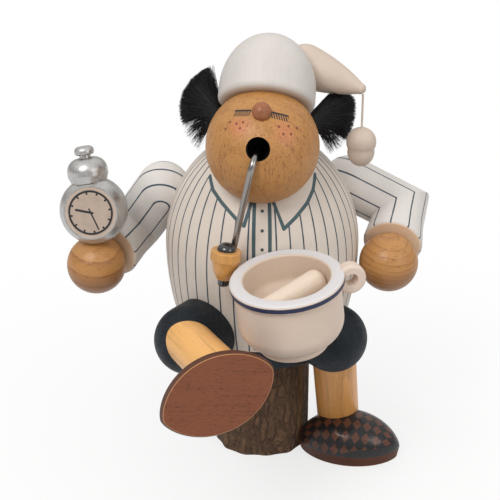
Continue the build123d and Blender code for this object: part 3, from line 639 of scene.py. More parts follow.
def dress(finish, *names):
    """Gives CAD pieces a material, slot for slot."""
    for name in names:
        mesh = parts[name].data
        if not mesh.materials:
            mesh.materials.append(finish.material)
        for index in range(len(mesh.materials)):
            mesh.materials[index] = finish.material


def surfaced(finish, group, origin, grain, x, relief, **values):
    """Feeds a material from a shared group and returns it with its place and colour sockets."""
    place = finish.place(origin, grain, x)
    out = finish.use(group, Place=place, **values)
    finish.colour(out["Color"])
    finish.roughness(out["Roughness"])
    finish.relief(out["Height"], relief)
    return finish, place, out["Color"]


def wood(name, pale, dark, origin=(0, 0, 0), grain=(0, 0, 1), x=(1, 0, 0), pith=(0, 0, 0), ring_width=4.0,
         rings=0.5, flecks=0.5, streaks=0.4, relief=0.12, **uniform):
    """Makes a turned-wood material and returns it with its place and colour sockets."""
    return surfaced(Finish(name, **uniform), turned_wood, origin, grain, x, relief, Pale=pale, Dark=dark,
                    Pith=pith, Ring_Width=ring_width, Rings=rings, Flecks=flecks, Streaks=streaks)


def paint(name, colour, thin, origin=(0, 0, 0), grain=(0, 0, 1), x=(1, 0, 0), unevenness=0.35,
          grain_show=0.2, relief=0.06, **uniform):
    """Makes a brushed-paint material and returns it with its place and colour sockets."""
    return surfaced(Finish(name, **uniform), brushed_paint, origin, grain, x, relief, Paint=colour,
                    Thin_Paint=thin, Unevenness=unevenness, Grain=grain_show)


def placed(name, data):
    """Makes an object of some data and links it to the scene."""
    made = bpy.data.objects.new(name, data)
    bpy.context.scene.collection.objects.link(made)
    return made


def stand_in(shown, finish, node, body):
    """Shows an object with its material in place of a CAD piece, on that piece's body."""
    shown.data.materials.append(finish.material)
    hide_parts(node)
    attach(shown, body)


def mesh_object(name, points, faces, clean=True):
    """Makes a smooth mesh from places in millimetres, and merges what meets at its ends."""
    mesh = bpy.data.meshes.new(name)
    mesh.from_pydata([point * MM for point in points], [], faces)
    mesh.polygons.foreach_set("use_smooth", [True] * len(mesh.polygons))
    if clean:
        form = bmesh.new()
        form.from_mesh(mesh)
        bmesh.ops.remove_doubles(form, verts=form.verts, dist=MERGE_DISTANCE)
        bmesh.ops.recalc_face_normals(form, faces=form.faces)
        form.to_mesh(mesh)
        form.free()
    return placed(name, mesh)


def between_rings(rings, count):
    """Returns the faces that join closed rings of points, each with the same count."""
    return [(ring * count + side, ring * count + (side + 1) % count,
             (ring + 1) * count + (side + 1) % count, (ring + 1) * count + side)
            for ring in range(rings - 1) for side in range(count)]


class SMOKER_OT_stage(Operator):
    """Sets the camera, the pale floor and the soft light"""

    bl_idname = "smoker.stage"
    bl_label = "Stage"

    def execute(self, context):
        scene = context.scene
        self.camera(scene)
        self.floor()
        self.light(scene)
        scene.view_settings.view_transform = "Standard"
        return {"FINISHED"}

    def camera(self, scene):
        data = bpy.data.cameras.new("photo_camera")
        data.sensor_width = SENSOR_WIDTH
        data.lens = FOCAL_PIXELS * SENSOR_WIDTH / PHOTO_PIXELS
        data.clip_start = 0.01
        camera = placed("photo_camera", data)
        camera.location = CAMERA_PLACE
        camera.rotation_euler = (CAMERA_TARGET - CAMERA_PLACE).to_track_quat("-Z", "Y").to_euler()
        scene.camera = camera

    def floor(self):
        bpy.ops.mesh.primitive_circle_add(vertices=96, radius=3.0, fill_type="NGON")
        floor = bpy.context.object
        floor.name = "floor"
        finish = Finish("Pale Floor", Roughness=0.9)
        finish.shader.inputs["Specular IOR Level"].default_value = 0.0
        path = finish.add("ShaderNodeLightPath").outputs
        seen = finish.most([path["Is Camera Ray"], path["Is Glossy Ray"], path["Is Transmission Ray"]])
        finish.colour(finish.mix(seen, (0.40, 0.39, 0.38), (0.85, 0.85, 0.85)))
        away = finish.vector("LENGTH", finish.coordinates)
        clear = finish.ramp(away, 0.03, 0.34, 0.72, 1.0)
        white = finish.add("ShaderNodeEmission")
        white.inputs["Strength"].default_value = 1.0
        blend = finish.add("ShaderNodeMixShader")
        finish.feed(blend.inputs[0], seen * clear)
        finish.feed(blend.inputs[1], finish.shader.outputs[0])
        finish.feed(blend.inputs[2], white.outputs[0])
        finish.feed(finish.find("OUTPUT_MATERIAL").inputs["Surface"], blend.outputs[0])
        floor.data.materials.append(finish.material)

    def light(self, scene):
        world = bpy.data.worlds.new("soft_room")
        scene.world = world
        world.use_nodes = True
        w = Wiring(world.node_tree)
        room = w.find("BACKGROUND")
        room.inputs["Strength"].default_value = sizes().world_level
        rise = w.split(w.add("ShaderNodeTexCoord").outputs["Generated"])[2]
        w.feed(room.inputs["Color"], w.mix(w.ramp(rise, 0.0, 0.8), (0.42, 0.40, 0.385),
                                           (1.0, 0.995, 0.985)))
        white = w.add("ShaderNodeBackground")
        white.inputs["Color"].default_value = (1, 1, 1, 1)
        white.inputs["Strength"].default_value = 1.0
        path = w.add("ShaderNodeLightPath").outputs
        blend = w.add("ShaderNodeMixShader")
        w.feed(blend.inputs[0], path["Is Camera Ray"])
        w.feed(blend.inputs[1], room.outputs[0])
        w.feed(blend.inputs[2], white.outputs[0])
        w.feed(w.find("OUTPUT_WORLD").inputs["Surface"], blend.outputs[0])
        lamps = (
            ("key_light", (-0.45, -0.75, 0.95), sizes().key_power, 0.5),
            ("fill_light", (0.7, -0.6, 0.5), sizes().key_power * 0.3, 0.5),
        )
        for name, place, power, size in lamps:
            lamp = bpy.data.lights.new(name, "AREA")
            lamp.shape = "DISK"
            lamp.size = size
            lamp.energy = power
            holder = placed(name, lamp)
            holder.location = place
            holder.rotation_euler = (Vector((0, 0, 0.1)) - Vector(place)).to_track_quat("-Z", "Y").to_euler()


class SMOKER_OT_log(Operator):
    """Gives the log its bark and cut ends"""

    bl_idname = "smoker.log"
    bl_label = "Log"

    def execute(self, context):
        c = colours()
        finish = Finish("Rough Bark", Roughness=0.85)
        place = finish.place()
        x, y = finish.split(place)[:2]
        warp = finish.vector("ADD", place, finish.stretched(
            finish.join(finish.noise(place, 0.12, 3), finish.noise(place, 0.11, 3), 0.5), (9, 9, 0)))
        long_way = finish.stretched(warp, (1, 1, 0.3))
        cells = finish.add("ShaderNodeTexVoronoi", feature="DISTANCE_TO_EDGE")
        finish.feed(cells.inputs["Vector"], long_way)
        cells.inputs["Scale"].default_value = 0.24
        furrow = finish.within(cells.outputs["Distance"], 0.02, 0.22)
        crust = finish.noise(long_way, 0.55, 9, 0.72)
        mottle = finish.ramp(crust, 0.32, 0.68)
        ground = finish.mix(mottle, tuned(c.bark_dark, 1.5), c.bark)
        lichen = finish.ramp(finish.noise(place, 0.28, 4, 0.7), 0.60, 0.72, 0, 0.5)
        ground = finish.mix(lichen, ground, (0.16, 0.125, 0.085))
        ground = finish.mix(furrow * 0.6, ground, c.bark_dark)
        bearing = finish.math("ARCTAN2", x, y * -1.0)
        strip = finish.ramp(abs(bearing - math.radians(BARE_STRIP)), 0.05, 0.11, 0.85, 0.0)
        torn = finish.noise(finish.stretched(place, (1, 1, 0.05)), 0.9, 3)
        bare = finish.mix(finish.ramp(torn, 0.3, 0.7), (0.30, 0.18, 0.075), (0.17, 0.095, 0.04))
        side = finish.mix(strip, ground, bare)
        facing_up = finish.split(finish.add("ShaderNodeNewGeometry").outputs["Normal"])[2]
        cut = finish.ramp(abs(facing_up), 0.7, 0.9)
        ends = finish.use(turned_wood, Place=place, Pale=c.pale, Dark=c.honey_dark,
                          Ring_Width=1.6, Rings=0.6, Flecks=0.2, Streaks=0.1)
        finish.colour(finish.mix(cut, side, ends["Color"]))
        height = crust - furrow
        finish.relief(height * (1.0 - cut), 1.6)
        dress(finish, "log_stump")
        return {"FINISHED"}


class SMOKER_OT_trousers(Operator):
    """Stains the seat and the thighs navy"""

    bl_idname = "smoker.trousers"
    bl_label = "Trousers"

    def execute(self, context):
        c = colours()
        for name, grain in TROUSERS:
            finish = Finish("Navy Stain " + name, Roughness=0.6, Specular_IOR_Level=0.25)
            place = finish.place(z=grain)
            lengthwise = finish.stretched(place, (1, 1, 0.04))
            grain_lines = finish.ramp(finish.noise(lengthwise, 0.8, 4, 0.65), 0.45, 0.75)
            rubbed = finish.use(handling_wear, Place=place, Amount=0.5)
            ground = finish.mix(grain_lines, c.navy, tuned(c.navy, 2.1))
            finish.colour(finish.mix(rubbed["Mask"], ground, (0.05, 0.05, 0.06)))
            finish.roughness(0.5 + rubbed["Dullness"])
            finish.relief(grain_lines, 0.12)
            dress(finish, name)
        return {"FINISHED"}


class SMOKER_OT_shins(Operator):
    """Finishes the bare shins in pale beech"""

    bl_idname = "smoker.shins"
    bl_label = "Shins"

    def execute(self, context):
        for name, grain, tone in SHINS:
            dress(wood("Pale Beech " + name, tone, tuned(tone, 0.5), grain=grain, pith=(30, 18, 0),
                       ring_width=3.2, rings=0.3, flecks=0.22, streaks=0.4, Coat_Weight=0.08)[0], name)
        return {"FINISHED"}


class SMOKER_OT_shoes(Operator):
    """Paints the checked shoes with their stained soles"""

    bl_idname = "smoker.shoes"
    bl_label = "Shoes"

    def execute(self, context):
        c = colours()
        for side, shoe in SHOES.items():
            finish = Finish("Checked Shoe " + side, Coat_Roughness=0.12, Specular_IOR_Level=0.3)
            place = finish.place(shoe["place"], shoe["top"], shoe["toe"])
            x, y, z = finish.split(place)
            turn = math.radians(SHOE_GRAIN_TURN)
            with_grain = x * math.cos(turn) + y * math.sin(turn)
            over_grain = y * math.cos(turn) - x * math.sin(turn)
            grain = finish.use(turned_wood, Place=finish.join(over_grain, z, with_grain),
                               Pale=tuned(c.sole, 1.05), Dark=tuned(c.sole, 0.45), Pith=(8, -60, 0),
                               Ring_Width=3.1, Rings=0.12, Flecks=0.6, Streaks=0.35)
            rise = z - SOLE_BAND
            turn = finish.math("ARCTAN2", rise, y)
            pitch = sizes().check / MM
            along = x / pitch
            about = turn * UPPER_GIRTH / pitch
            leans = [lean + CHECK_START for lean in (along + about, along - about)]
            rows = finish.math("FLOOR", leans[0]) + finish.math("FLOOR", leans[1])
            checks = finish.math("MODULO", rows, 2.0)
            for lean in leans:
                inset = abs(finish.math("FRACT", lean) - 0.5)
                checks = checks * finish.within(inset, 0.43, 0.47)
            margin = rise - finish.ramp(x, -7.0, 7.0, 0.0, 4.0)
            plain = finish.within(margin, 0.0, 0.4)
            checks = checks * (1.0 - plain)
            checks = checks * finish.ramp(finish.noise(place, 0.7, 2), 0.2, 0.5, 0.7, 1.0)
            brown = finish.mix(0.5, grain["Color"], (0.045, 0.020, 0.014))
            upper = finish.mix(checks, c.shoe, brown)
            band = finish.ramp(rise, -0.15, 0.05)
            worn = finish.use(handling_wear, Place=place, Amount=0.7)
            edge = finish.within(z, 0.25, 0.6) * finish.ramp(z, 0.02, 0.12)
            side_band = finish.mix(0.55, grain["Color"], (0.030, 0.012, 0.009))
            sole = finish.mix(finish.ramp(z, 0.1, 0.7), grain["Color"], side_band)
            sole = finish.mix(worn["Mask"], sole, (0.34, 0.17, 0.085))
            sole = finish.mix(edge * 0.75, sole, (0.58, 0.29, 0.12))
            finish.colour(finish.mix(band, sole, upper))
            finish.feed(finish.shader.inputs["Coat Weight"], band * 0.3)
            finish.roughness(finish.ramp(rise, -0.1, 0.1, 0.55, 0.3) + worn["Dullness"])
            finish.relief(grain["Height"], 0.15)
            stand_in(self.last(side, shoe), finish, side + "_shoe", "base")
        return {"FINISHED"}

    def half_width(self, along, inset):
        """Returns half the width of the shoe's outline at a place along it."""
        reach = along / (SHOE_HALF_LENGTH - inset)
        return (SHOE_HALF_WIDTH - inset) * max(1.0 - reach * reach, 0.0) ** SHOE_FULLNESS

    def last(self, side, shoe):
        """Builds one shoe: half a turned spindle on a sole that narrows to the ground."""
        toe, top = shoe["toe"].normalized(), shoe["top"].normalized()
        beside = top.cross(toe)
        sections, arc = 56, 28
        points = []
        for section in range(sections + 1):
            share = -math.cos(math.pi * section / sections)
            ring = []
            for inset, level in ((SOLE_INSET + 0.35, 0.0), (SOLE_INSET, 0.3), (0.1, SOLE_BAND - 0.2)):
                along = share * (SHOE_HALF_LENGTH - inset)
                ring.append((along, -self.half_width(along, inset), level))
            along = share * SHOE_HALF_LENGTH
            wide = self.half_width(along, 0.0)
            dome = [(along, -wide * math.cos(math.pi * step / arc),
                     SOLE_BAND + SHOE_RISE * wide * math.sin(math.pi * step / arc))
                    for step in range(arc + 1)]
            ring = ring + dome + [(a, -b, h) for a, b, h in reversed(ring)]
            points += [shoe["place"] + toe * a + beside * b + top * h for a, b, h in ring]
        faces = between_rings(sections + 1, len(points) // (sections + 1))
        last = mesh_object(side + "_shoe_turned", points, faces)
        last.data.set_sharp_from_angle(angle=math.radians(SHOE_SHARP_ANGLE))
        return last


class SMOKER_OT_shirt(Operator):
    """Paints the striped night shirt with its collar, front band and buttons"""

    bl_idname = "smoker.shirt"
    bl_label = "Shirt"

    def execute(self, context):
        c, s = colours(), sizes()
        finish, place, ground = paint("Striped Shirt", c.shirt, tuned(c.shirt, 0.80), relief=0.05,
                                      unevenness=0.3, grain_show=0.12)
        x, y, z = finish.split(place)
        bearing = finish.math("ARCTAN2", x, y * -1.0)
        stripes = finish.use(painted_stripes, Place=finish.join(y * -1.0, x, z), Count=float(s.stripes),
                             First_Stripe=math.radians(FIRST_SHIRT_STRIPE),
                             Half_Width=s.stripe_width / MM / 2)["Mask"]
        half = s.collar_width / MM / 2
        lines, inside = [], []
        for side, points in COLLAR.items():
            corner = (COLLAR_CORNER[0] * side, COLLAR_CORNER[1])
            route = points + [corner]
            lines += [(on_body(*a), on_body(*b), half) for a, b in zip(route, route[1:])]
            tip, top = points[-1], points[0]
            lean = (top[1] - tip[1]) / math.radians(top[0] - tip[0])
            bow = (bearing - math.radians(tip[0])) * lean
            above = finish.ramp(z - (bow + tip[1]), 0.0, 0.4)
            back_run = math.radians((corner[0] - tip[0]) / (corner[1] - tip[1]))
            back_edge = (z - tip[1]) * back_run + math.radians(tip[0])
            past = (bearing - back_edge) * float(side)
            inside.append(above * finish.ramp(past, 0.0, 0.01))
        for top, foot in BAND_LINES:
            steps = [(foot + (top - foot) * max(h - BAND_STRAIGHT, 0) / (BAND_HEIGHTS[0] - BAND_STRAIGHT), h)
                     for h in BAND_HEIGHTS]
            lines += [(on_body(*a), on_body(*b), half) for a, b in zip(steps, steps[1:])]
        front = finish.within(abs(bearing), math.radians(BAND_PLAIN), math.radians(BAND_PLAIN + 0.2))
        plain = finish.most(inside + [front])
        stripes = stripes * (1.0 - plain)
        buttons = [on_body(0, height) for height in BUTTON_HEIGHTS]
        colour = finish.over(stripes, c.stripe, ground)
        colour = finish.over(finish.most(finish.lines(place, lines)), c.collar, colour)
        colour = finish.over(finish.spots(place, buttons, s.button / MM, 0.2), tuned(c.collar, 0.6), colour)
        bare = finish.use(turned_wood, Place=place, Pale=c.pale, Dark=c.honey_dark,
                          Rings=0.3, Flecks=0.3, Streaks=0.5)["Color"]
        reach = finish.out_from_axis(place)
        chamber = finish.within(reach, CHAMBER_RADIUS, CHAMBER_RADIUS + 1.0)
        chamber = chamber * finish.within(z, CHAMBER_TOP, CHAMBER_TOP + 1.0)
        inner = finish.most([finish.within(z, SHELL_FOOT, SHELL_FOOT + 0.2), chamber])
        finish.colour(finish.mix(inner, colour, bare))
        dress(finish, "body_shell")
        return {"FINISHED"}


class SMOKER_OT_sleeves(Operator):
    """Paints the striped sleeves and leaves the cut cuff faces bare"""

    bl_idname = "smoker.sleeves"
    bl_label = "Sleeves"

    def execute(self, context):
        c, s = colours(), sizes()
        for side, arm in ARMS.items():
            bend = arm["upper"].cross(arm["fore"])
            for piece, way in (("upper_arm", arm["upper"]), ("forearm", arm["fore"])):
                finish, place, ground = paint(
                    f"Striped Sleeve {side} {piece}", c.sleeve, tuned(c.sleeve, 0.82), arm["elbow"], way,
                    bend, unevenness=0.25, grain_show=0.12)
                stripes = finish.use(painted_stripes, Place=place, Count=float(SLEEVE_STRIPES),
                                     First_Stripe=math.radians(arm["first_stripe"]),
                                     Half_Width=s.stripe_width / MM / 2)["Mask"]
                if piece == "upper_arm":
                    stripes = self.carry_over_shoulder(finish, place, stripes, arm, s)
                colour = finish.over(stripes, c.stripe, ground)
                if piece == "forearm":
                    along = finish.split(place)[2]
                    cut = finish.ramp(along, CUFF_REACH - 0.25, CUFF_REACH - 0.1)
                    end_wood = finish.use(turned_wood, Place=place, Pale=(0.86, 0.66, 0.47),
                                          Dark=(0.70, 0.50, 0.32), Ring_Width=2.2, Rings=0.3, Flecks=0.2,
                                          Streaks=0.2)["Color"]
                    colour = finish.mix(cut, colour, end_wood)
                finish.colour(colour)
                dress(finish, f"{side}_{piece}")
        return {"FINISHED"}

    def carry_over_shoulder(self, finish, place, stripes, arm, s):
        """Runs the stripes over the round shoulder in parallel planes, joined in pairs."""
        x, y, z = finish.split(place)
        facing = math.radians(arm["shoulder_turn"])
        offset = x * math.cos(facing) + y * math.sin(facing)
        pitch = math.tau / SLEEVE_STRIPES
        lanes = [SLEEVE_RADIUS * math.cos(pitch * (lane + 0.5)) for lane in range(SLEEVE_STRIPES // 2)]
        half = s.stripe_width / MM / 2
        lean = offset / SLEEVE_RADIUS
        slope = finish.math("MAXIMUM", 1.0 - lean * lean, 0.02)
        slope = finish.math("SQRT", slope)
        away = [abs(offset - lane) for lane in lanes]
        over = finish.most([finish.within(gap / slope, half, half + PAINT_EDGE) for gap in away])
        dome = finish.within(z, -UPPER_ARM_REACH - 0.3, -UPPER_ARM_REACH + 0.3)
        straight = stripes * (1.0 - dome)
        return straight + over * dome


class SMOKER_OT_hands(Operator):
    """Finishes the ball hands in oiled beech with level growth rings and painted shade on their undersides
    """

    bl_idname = "smoker.hands"
    bl_label = "Hands"

    def execute(self, context):
        c = colours()
        for name, origin, width, strength in HANDS:
            finish, colour = wood(
                "Honey Beech " + name, c.honey, tuned(c.honey_dark, 0.9), origin, (1, 0.15, 0), (0, -0.1, 1),
                pith=(-72, 0, 0), ring_width=width, rings=strength, flecks=0.6, streaks=0.15,
                Coat_Weight=0.15, Coat_Roughness=0.35)[::2]
            # Painted shade: each hand ball is darkened with a dark brown toward its underside.
            height = finish.split(finish.place(origin))[2]
            painted_underside_shade = finish.ramp(height, -4.5, 1.5, 0.45, 0.0)
            finish.colour(finish.mix(painted_underside_shade, colour, (0.20, 0.075, 0.030)))
            dress(finish, name)
        return {"FINISHED"}


class SMOKER_OT_head(Operator):
    """Finishes the head, paints the shut eyes, freckles and blush, and paints the mouth's bore near-black as
    painted shade
    """

    bl_idname = "smoker.head"
    bl_label = "Head"

    def execute(self, context):
        c, s = colours(), sizes()
        finish, ground = wood(
            "Honey Beech Head", c.honey, c.honey_dark, HEAD_CENTRE, (0, -0.25, 0.97), pith=(22, 60, 0),
            ring_width=7.0, rings=0.2, flecks=0.75, streaks=0.40)[::2]
        model = finish.place()
        blush = finish.spots(model, [on_head(*spot) for spot in CHEEKS], 4.2, 3.8)
        colour = finish.over(blush * 0.42, (0.62, 0.17, 0.09), ground)
        dots = finish.spots(model, [on_head(*spot) for spot in FRECKLES], s.freckle / MM, PAINT_EDGE)
        colour = finish.over(dots, (0.16, 0.035, 0.018), colour)
        lashes = []
        for corner, other_corner, lean in EYES:
            start, end = toward(*corner), toward(*other_corner)
            middle = (start + end).normalized()
            eye = finish.place(HEAD_CENTRE + HEAD_RADIUS * middle, middle, end - start)
            half = HEAD_RADIUS * (end - start).length / 2
            lashes.append(finish.use(lash_fan, Place=eye, Half_Length=half, Bow=0.012,
                                     Lean=lean)["Mask"])
        colour = finish.over(finish.most(lashes), c.black, colour)
        # Painted shade: the inner wall of the mouth's bore is painted near-black and made fully rough.
        mouth = finish.place(HEAD_CENTRE, MOUTH_WAY)
        bore_painted_shade = finish.within(finish.out_from_axis(mouth), MOUTH_RADIUS, MOUTH_RADIUS + 0.08)
        bore_painted_shade = bore_painted_shade * finish.ramp(finish.split(mouth)[2], -6, -4)
        finish.colour(finish.over(bore_painted_shade, (0.0015, 0.001, 0.0008), colour))
        finish.roughness(finish.ramp(bore_painted_shade, 0, 1, 0.45, 1.0))
        dress(finish, "head")
        nose = wood("Nose Beech", c.nose, tuned(c.nose, 0.5), grain=(0.02, -0.55, 0.83), ring_width=2.4,
                    rings=0.4, flecks=0.4, streaks=0.5, Coat_Weight=0.2, Coat_Roughness=0.3)[0]
        bpy.ops.mesh.primitive_uv_sphere_add(segments=48, ring_count=32, radius=NOSE_RADIUS * MM,
                                             location=(HEAD_CENTRE + NOSE_REACH * toward(*NOSE_WAY)) * MM)
        ball = bpy.context.object
        ball.name = "nose_ball"
        bpy.ops.object.transform_apply(location=True, rotation=True, scale=True)
        bpy.ops.object.shade_smooth()
        stand_in(ball, nose, "nose", "upper")
        return {"FINISHED"}


class SMOKER_OT_nightcap(Operator):
    """Paints the nightcap, its tail and the pompom"""

    bl_idname = "smoker.nightcap"
    bl_label = "Nightcap"

    def execute(self, context):
        c = colours()
        cap, place, colour = paint("Cap Paint", c.cap, tuned(c.cap, 0.80), *CAP,
                                   unevenness=0.35, grain_show=0.2)
        z = cap.split(place)[2]
        # A brown band at the cap's lower edge where it meets the head: partly the bare wood of the edge,
        # partly painted contact shade.
        cap.colour(cap.over(cap.ramp(z, 0.2, 1.8, 0.42, 0.0), (0.34, 0.22, 0.12), colour))
        dress(cap, "nightcap")
        tail = paint("Cap Tail Paint", c.tail, tuned(c.tail, 0.82), *CAP_TAIL,
                     unevenness=0.4, grain_show=0.25)[0]
        dress(tail, "cap_tail")
        pompom = paint("Pompom Paint", c.tail, tuned(c.tail, 0.78), unevenness=0.45, grain_show=0.25)[0]
        stand_in(self.pompom(), pompom, "pompom", "tassel")
        return {"FINISHED"}

    def pompom(self):
        """Turns the pompom: a ball that sits on the rounded foot below it."""
        waist = math.asin(-POMPOM_WAIST / POMPOM_BALL)
        profile = []
        for step in range(13):
            turn = math.pi / 2 * step / 12
            profile.append((POMPOM_FOOT * math.sin(turn), POMPOM_FOOT_HEIGHT * (1 - math.cos(turn))))
        for step in range(25):
            turn = waist + (math.pi / 2 - waist) * step / 24
            profile.append((POMPOM_BALL * math.cos(turn),
                            POMPOM_HEIGHT - POMPOM_BALL * (1 - math.sin(turn))))
        sides = 64
        foot = TASSEL_PIVOT - Vector((0, 0, POMPOM_DROP + POMPOM_HEIGHT))
        points = [foot + Vector((reach * math.cos(math.tau * side / sides),
                                 reach * math.sin(math.tau * side / sides), level))
                  for reach, level in profile for side in range(sides)]
        return mesh_object("pompom_turned", points, between_rings(len(profile), sides))


class SMOKER_OT_tassel_cord(Operator):
    """Hangs the tassel's twisted cord from the tip of the cap's tail"""

    bl_idname = "smoker.tassel_cord"
    bl_label = "Tassel Cord"

    def execute(self, context):
        s = sizes()
        curve = bpy.data.curves.new("tassel_cord_twist", "CURVE")
        curve.dimensions = "3D"
        curve.bevel_depth = s.cord / 2
        curve.bevel_resolution = 4
        spline = curve.splines.new("NURBS")
        steps = 6
        spline.points.add(steps)
        for index, point in enumerate(spline.points):
            drop = s.cord_length * index / steps
            point.co = (*(TASSEL_PIVOT * MM - Vector((0, 0, drop))), 1.0)
        spline.order_u = 3
        spline.use_endpoint_u = True
        cord = placed("tassel_cord_twist", curve)
        finish = Finish("Twisted Cord", Roughness=0.85)
        x, y, z = finish.split(finish.place(TASSEL_PIVOT))
        turn = finish.math("ARCTAN2", y, x) + z * 2.6
        # Painted shade: the off-white cord is darkened in the grooves between its twisted plies; the same
        # mask also gives the plies' relief.
        ply_relief_and_groove_shade = (finish.math("SINE", turn * 2.0) + 1.0) * 0.5
        finish.colour(finish.mix(ply_relief_and_groove_shade, (0.40, 0.31, 0.23), (0.80, 0.72, 0.62)))
        finish.relief(ply_relief_and_groove_shade, 0.15)
        stand_in(cord, finish, "tassel_cord", "tassel")
        return {"FINISHED"}


class SMOKER_OT_hair(Operator):
    """Fans out the two tufts of fibre hair at the sides of the head"""

    bl_idname = "smoker.hair"
    bl_label = "Hair"

    def execute(self, context):
        finish = Finish("Hair Fibre", Specular_IOR_Level=0.3)
        place = finish.place()
        shade = finish.ramp(finish.noise(place, 0.9, 3), 0.3, 0.8)
        finish.colour(finish.mix(shade, colours().hair, (0.014, 0.013, 0.013)))
        finish.roughness(finish.ramp(shade, 0, 1, 0.45, 0.6))
        for side, tuft in TUFTS.items():
            hair = self.fan(side, tuft, sizes().strands)
            stand_in(hair, finish, side + "_hair", "upper")
        return {"FINISHED"}

    def cut_at(self, tuft, share):
        """Returns the angle and reach of the tuft's cut at a share of the way down it."""
        run = share * (len(tuft["cut"]) - 1)
        first = min(int(run), len(tuft["cut"]) - 2)
        (a, r), (b, q) = tuft["cut"][first:first + 2]
        return a + (b - a) * (run - first), r + (q - r) * (run - first)

    def fan(self, side, tuft, count):
        """Builds the strands of one tuft as thin three-sided spindles."""
        dice = random.Random("tuft " + side)
        up = Vector((0, 0, 1))
        across = tuft["out"].cross(up).normalized()
        waist = tuft["root"] + tuft["out"] * tuft["waist"][0] + up * tuft["waist"][1]
        points, faces = [], []
        stations = 8
        for number in range(count):
            share = dice.random()
            if (share > tuft["thin"] or share < 0.07) and dice.random() < 0.72:
                share = dice.uniform(0.07, tuft["thin"])
            sparse = share > tuft["thin"] or share < 0.07
            angle, reach = self.cut_at(tuft, share)
            angle = math.radians(angle + dice.gauss(0, 1.5))
            way = tuft["out"] * math.cos(angle) + up * math.sin(angle)
            reach *= dice.uniform(0.78, 1.03) if sparse else dice.choice((0.955, 0.975, 0.985, 0.995))
            lift = dice.uniform(-1, 1)
            start = tuft["root"] + across * lift * 1.7 + up * dice.uniform(-1.4, 1.4)
            pass_by = waist + across * lift * 2.4 + way * dice.uniform(-1.5, 2.5)
            tip = waist + way * reach + across * (lift * 1.2 + dice.uniform(-0.5, 0.5))
            base = len(points)
            for station in range(stations):
                t = station / (stations - 1)
                middle = start * (1 - t) ** 2 + pass_by * 2 * t * (1 - t) + tip * t * t
                thick = sizes().strand / MM * (1.0 - 0.7 * t ** 3) / 2
                for corner in range(3):
                    turn = corner * math.tau / 3 + number
                    points.append(middle + (across * math.cos(turn) + up * math.sin(turn)) * thick)
            faces += [tuple(base + corner for corner in face) for face in between_rings(stations, 3)]
            last = base + (stations - 1) * 3
            faces.append((last, last + 1, last + 2))
        return mesh_object(side + "_hair_strands", points, faces, clean=False)


class SMOKER_OT_pipe(Operator):
    """Finishes the pipe: steel stem, yellow bowl, black lid and tip"""

    bl_idname = "smoker.pipe"
    bl_label = "Pipe"

    def execute(self, context):
        c = colours()
        steel = Finish("Drawn Steel", Metallic=1.0, Roughness=0.25)
        place = steel.place()
        drawn = steel.noise(steel.stretched(place, (1.2, 1.2, 0.2)), 1.5, 4)
        steel.colour(steel.mix(drawn, (0.25, 0.235, 0.22), (0.34, 0.32, 0.30)))
        steel.roughness(steel.ramp(drawn, 0.3, 0.7, 0.16, 0.24))
        dress(steel, "pipe_stem")
        bowl = wood("Bowl Wood", c.bowl, tuned(c.bowl, 0.62), *PIPE_BOWL, pith=(16, 10, 0), ring_width=3.0,
                    rings=0.3, flecks=0.25, streaks=0.35, Coat_Weight=0.4, Coat_Roughness=0.15)[0]
        dress(bowl, "pipe_bowl")
        lacquer = Finish("Black Lacquer", Roughness=0.16, Coat_Weight=0.8, Coat_Roughness=0.05)
        place = lacquer.place()
        lacquer.colour(lacquer.mix(lacquer.noise(place, 0.8, 3), c.black, tuned(c.black, 1.8)))
        lacquer.roughness(lacquer.ramp(lacquer.noise(place, 0.5, 3), 0.3, 0.7, 0.14, 0.19))
        dress(lacquer, "pipe_lid", "pipe_tip")
        return {"FINISHED"}


class SMOKER_OT_clock(Operator):
    """Paints the silver alarm clock and its dial"""

    bl_idname = "smoker.clock"
    bl_label = "Clock"

    def execute(self, context):
        c = colours()
        silver = Finish("Silver Bronze", Metallic=0.9)
        place = silver.place(CLOCK_CENTRE, CLOCK_UP)
        brush = silver.noise(silver.stretched(place, (1, 1, 0.3)), 1.5, 4, 0.6)
        cloud = silver.noise(place, 0.12, 3)
        worn = silver.use(handling_wear, Place=place, Amount=0.3)
        ground = silver.mix(silver.ramp(brush, 0.3, 0.7), tuned(c.silver, 0.88), tuned(c.silver, 1.12))
        ground = silver.mix(silver.ramp(cloud, 0.4, 0.7, 0.0, 0.25), ground, tuned(c.silver, 0.7))
        silver.colour(silver.mix(worn["Mask"], ground, (0.30, 0.24, 0.18)))
        silver.roughness(silver.ramp(brush, 0.3, 0.7, 0.26, 0.34) + worn["Dullness"])
        silver.relief(brush, 0.045)
        dress(silver, "clock_body", "clock_bell", "clock_knob")
        self.dial(c)
        return {"FINISHED"}

    def dial(self, c):
        dial = Finish("Clock Dial", Roughness=0.45, Coat_Weight=0.2, Coat_Roughness=0.3)
        place = dial.place(CLOCK_CENTRE, CLOCK_FACE, CLOCK_UP.cross(CLOCK_FACE))
        x, y = dial.split(place)[:2]
        flat = dial.join(x, y, 0.0)
        radius = dial.vector("LENGTH", flat)
        ring = dial.within(abs(radius - DIAL_RING), 0.46, 0.58)
        hour = math.tau / 12
        hour_way = (dial.math("ARCTAN2", y, x) - math.radians(DIAL_TURN)) / hour
        beside = abs(dial.math("FRACT", hour_way + 0.5) - 0.5)
        beside = beside * (radius * hour)
        length = dial.ramp(radius, DIAL_TICKS[0], DIAL_TICKS[0] + 0.2)
        length = length * dial.within(radius, DIAL_TICKS[1], DIAL_TICKS[1] + 0.1)
        tick = dial.within(beside, 0.4, 0.52) * length
        age = dial.noise(place, 0.2, 4)
        ground = dial.mix(dial.ramp(age, 0.35, 0.7), c.dial, tuned(c.dial, 0.86))
        rim = dial.ramp(radius, DIAL_RIM, DIAL_RIM + 0.3)
        ground = dial.mix(rim, ground, tuned(c.dial, 1.15))
        dial.colour(dial.over(dial.most([ring, tick] + dial.lines(flat, DIAL_HANDS)), c.black, ground))
        dial.relief(age, 0.04)
        dress(dial, "clock_dial")


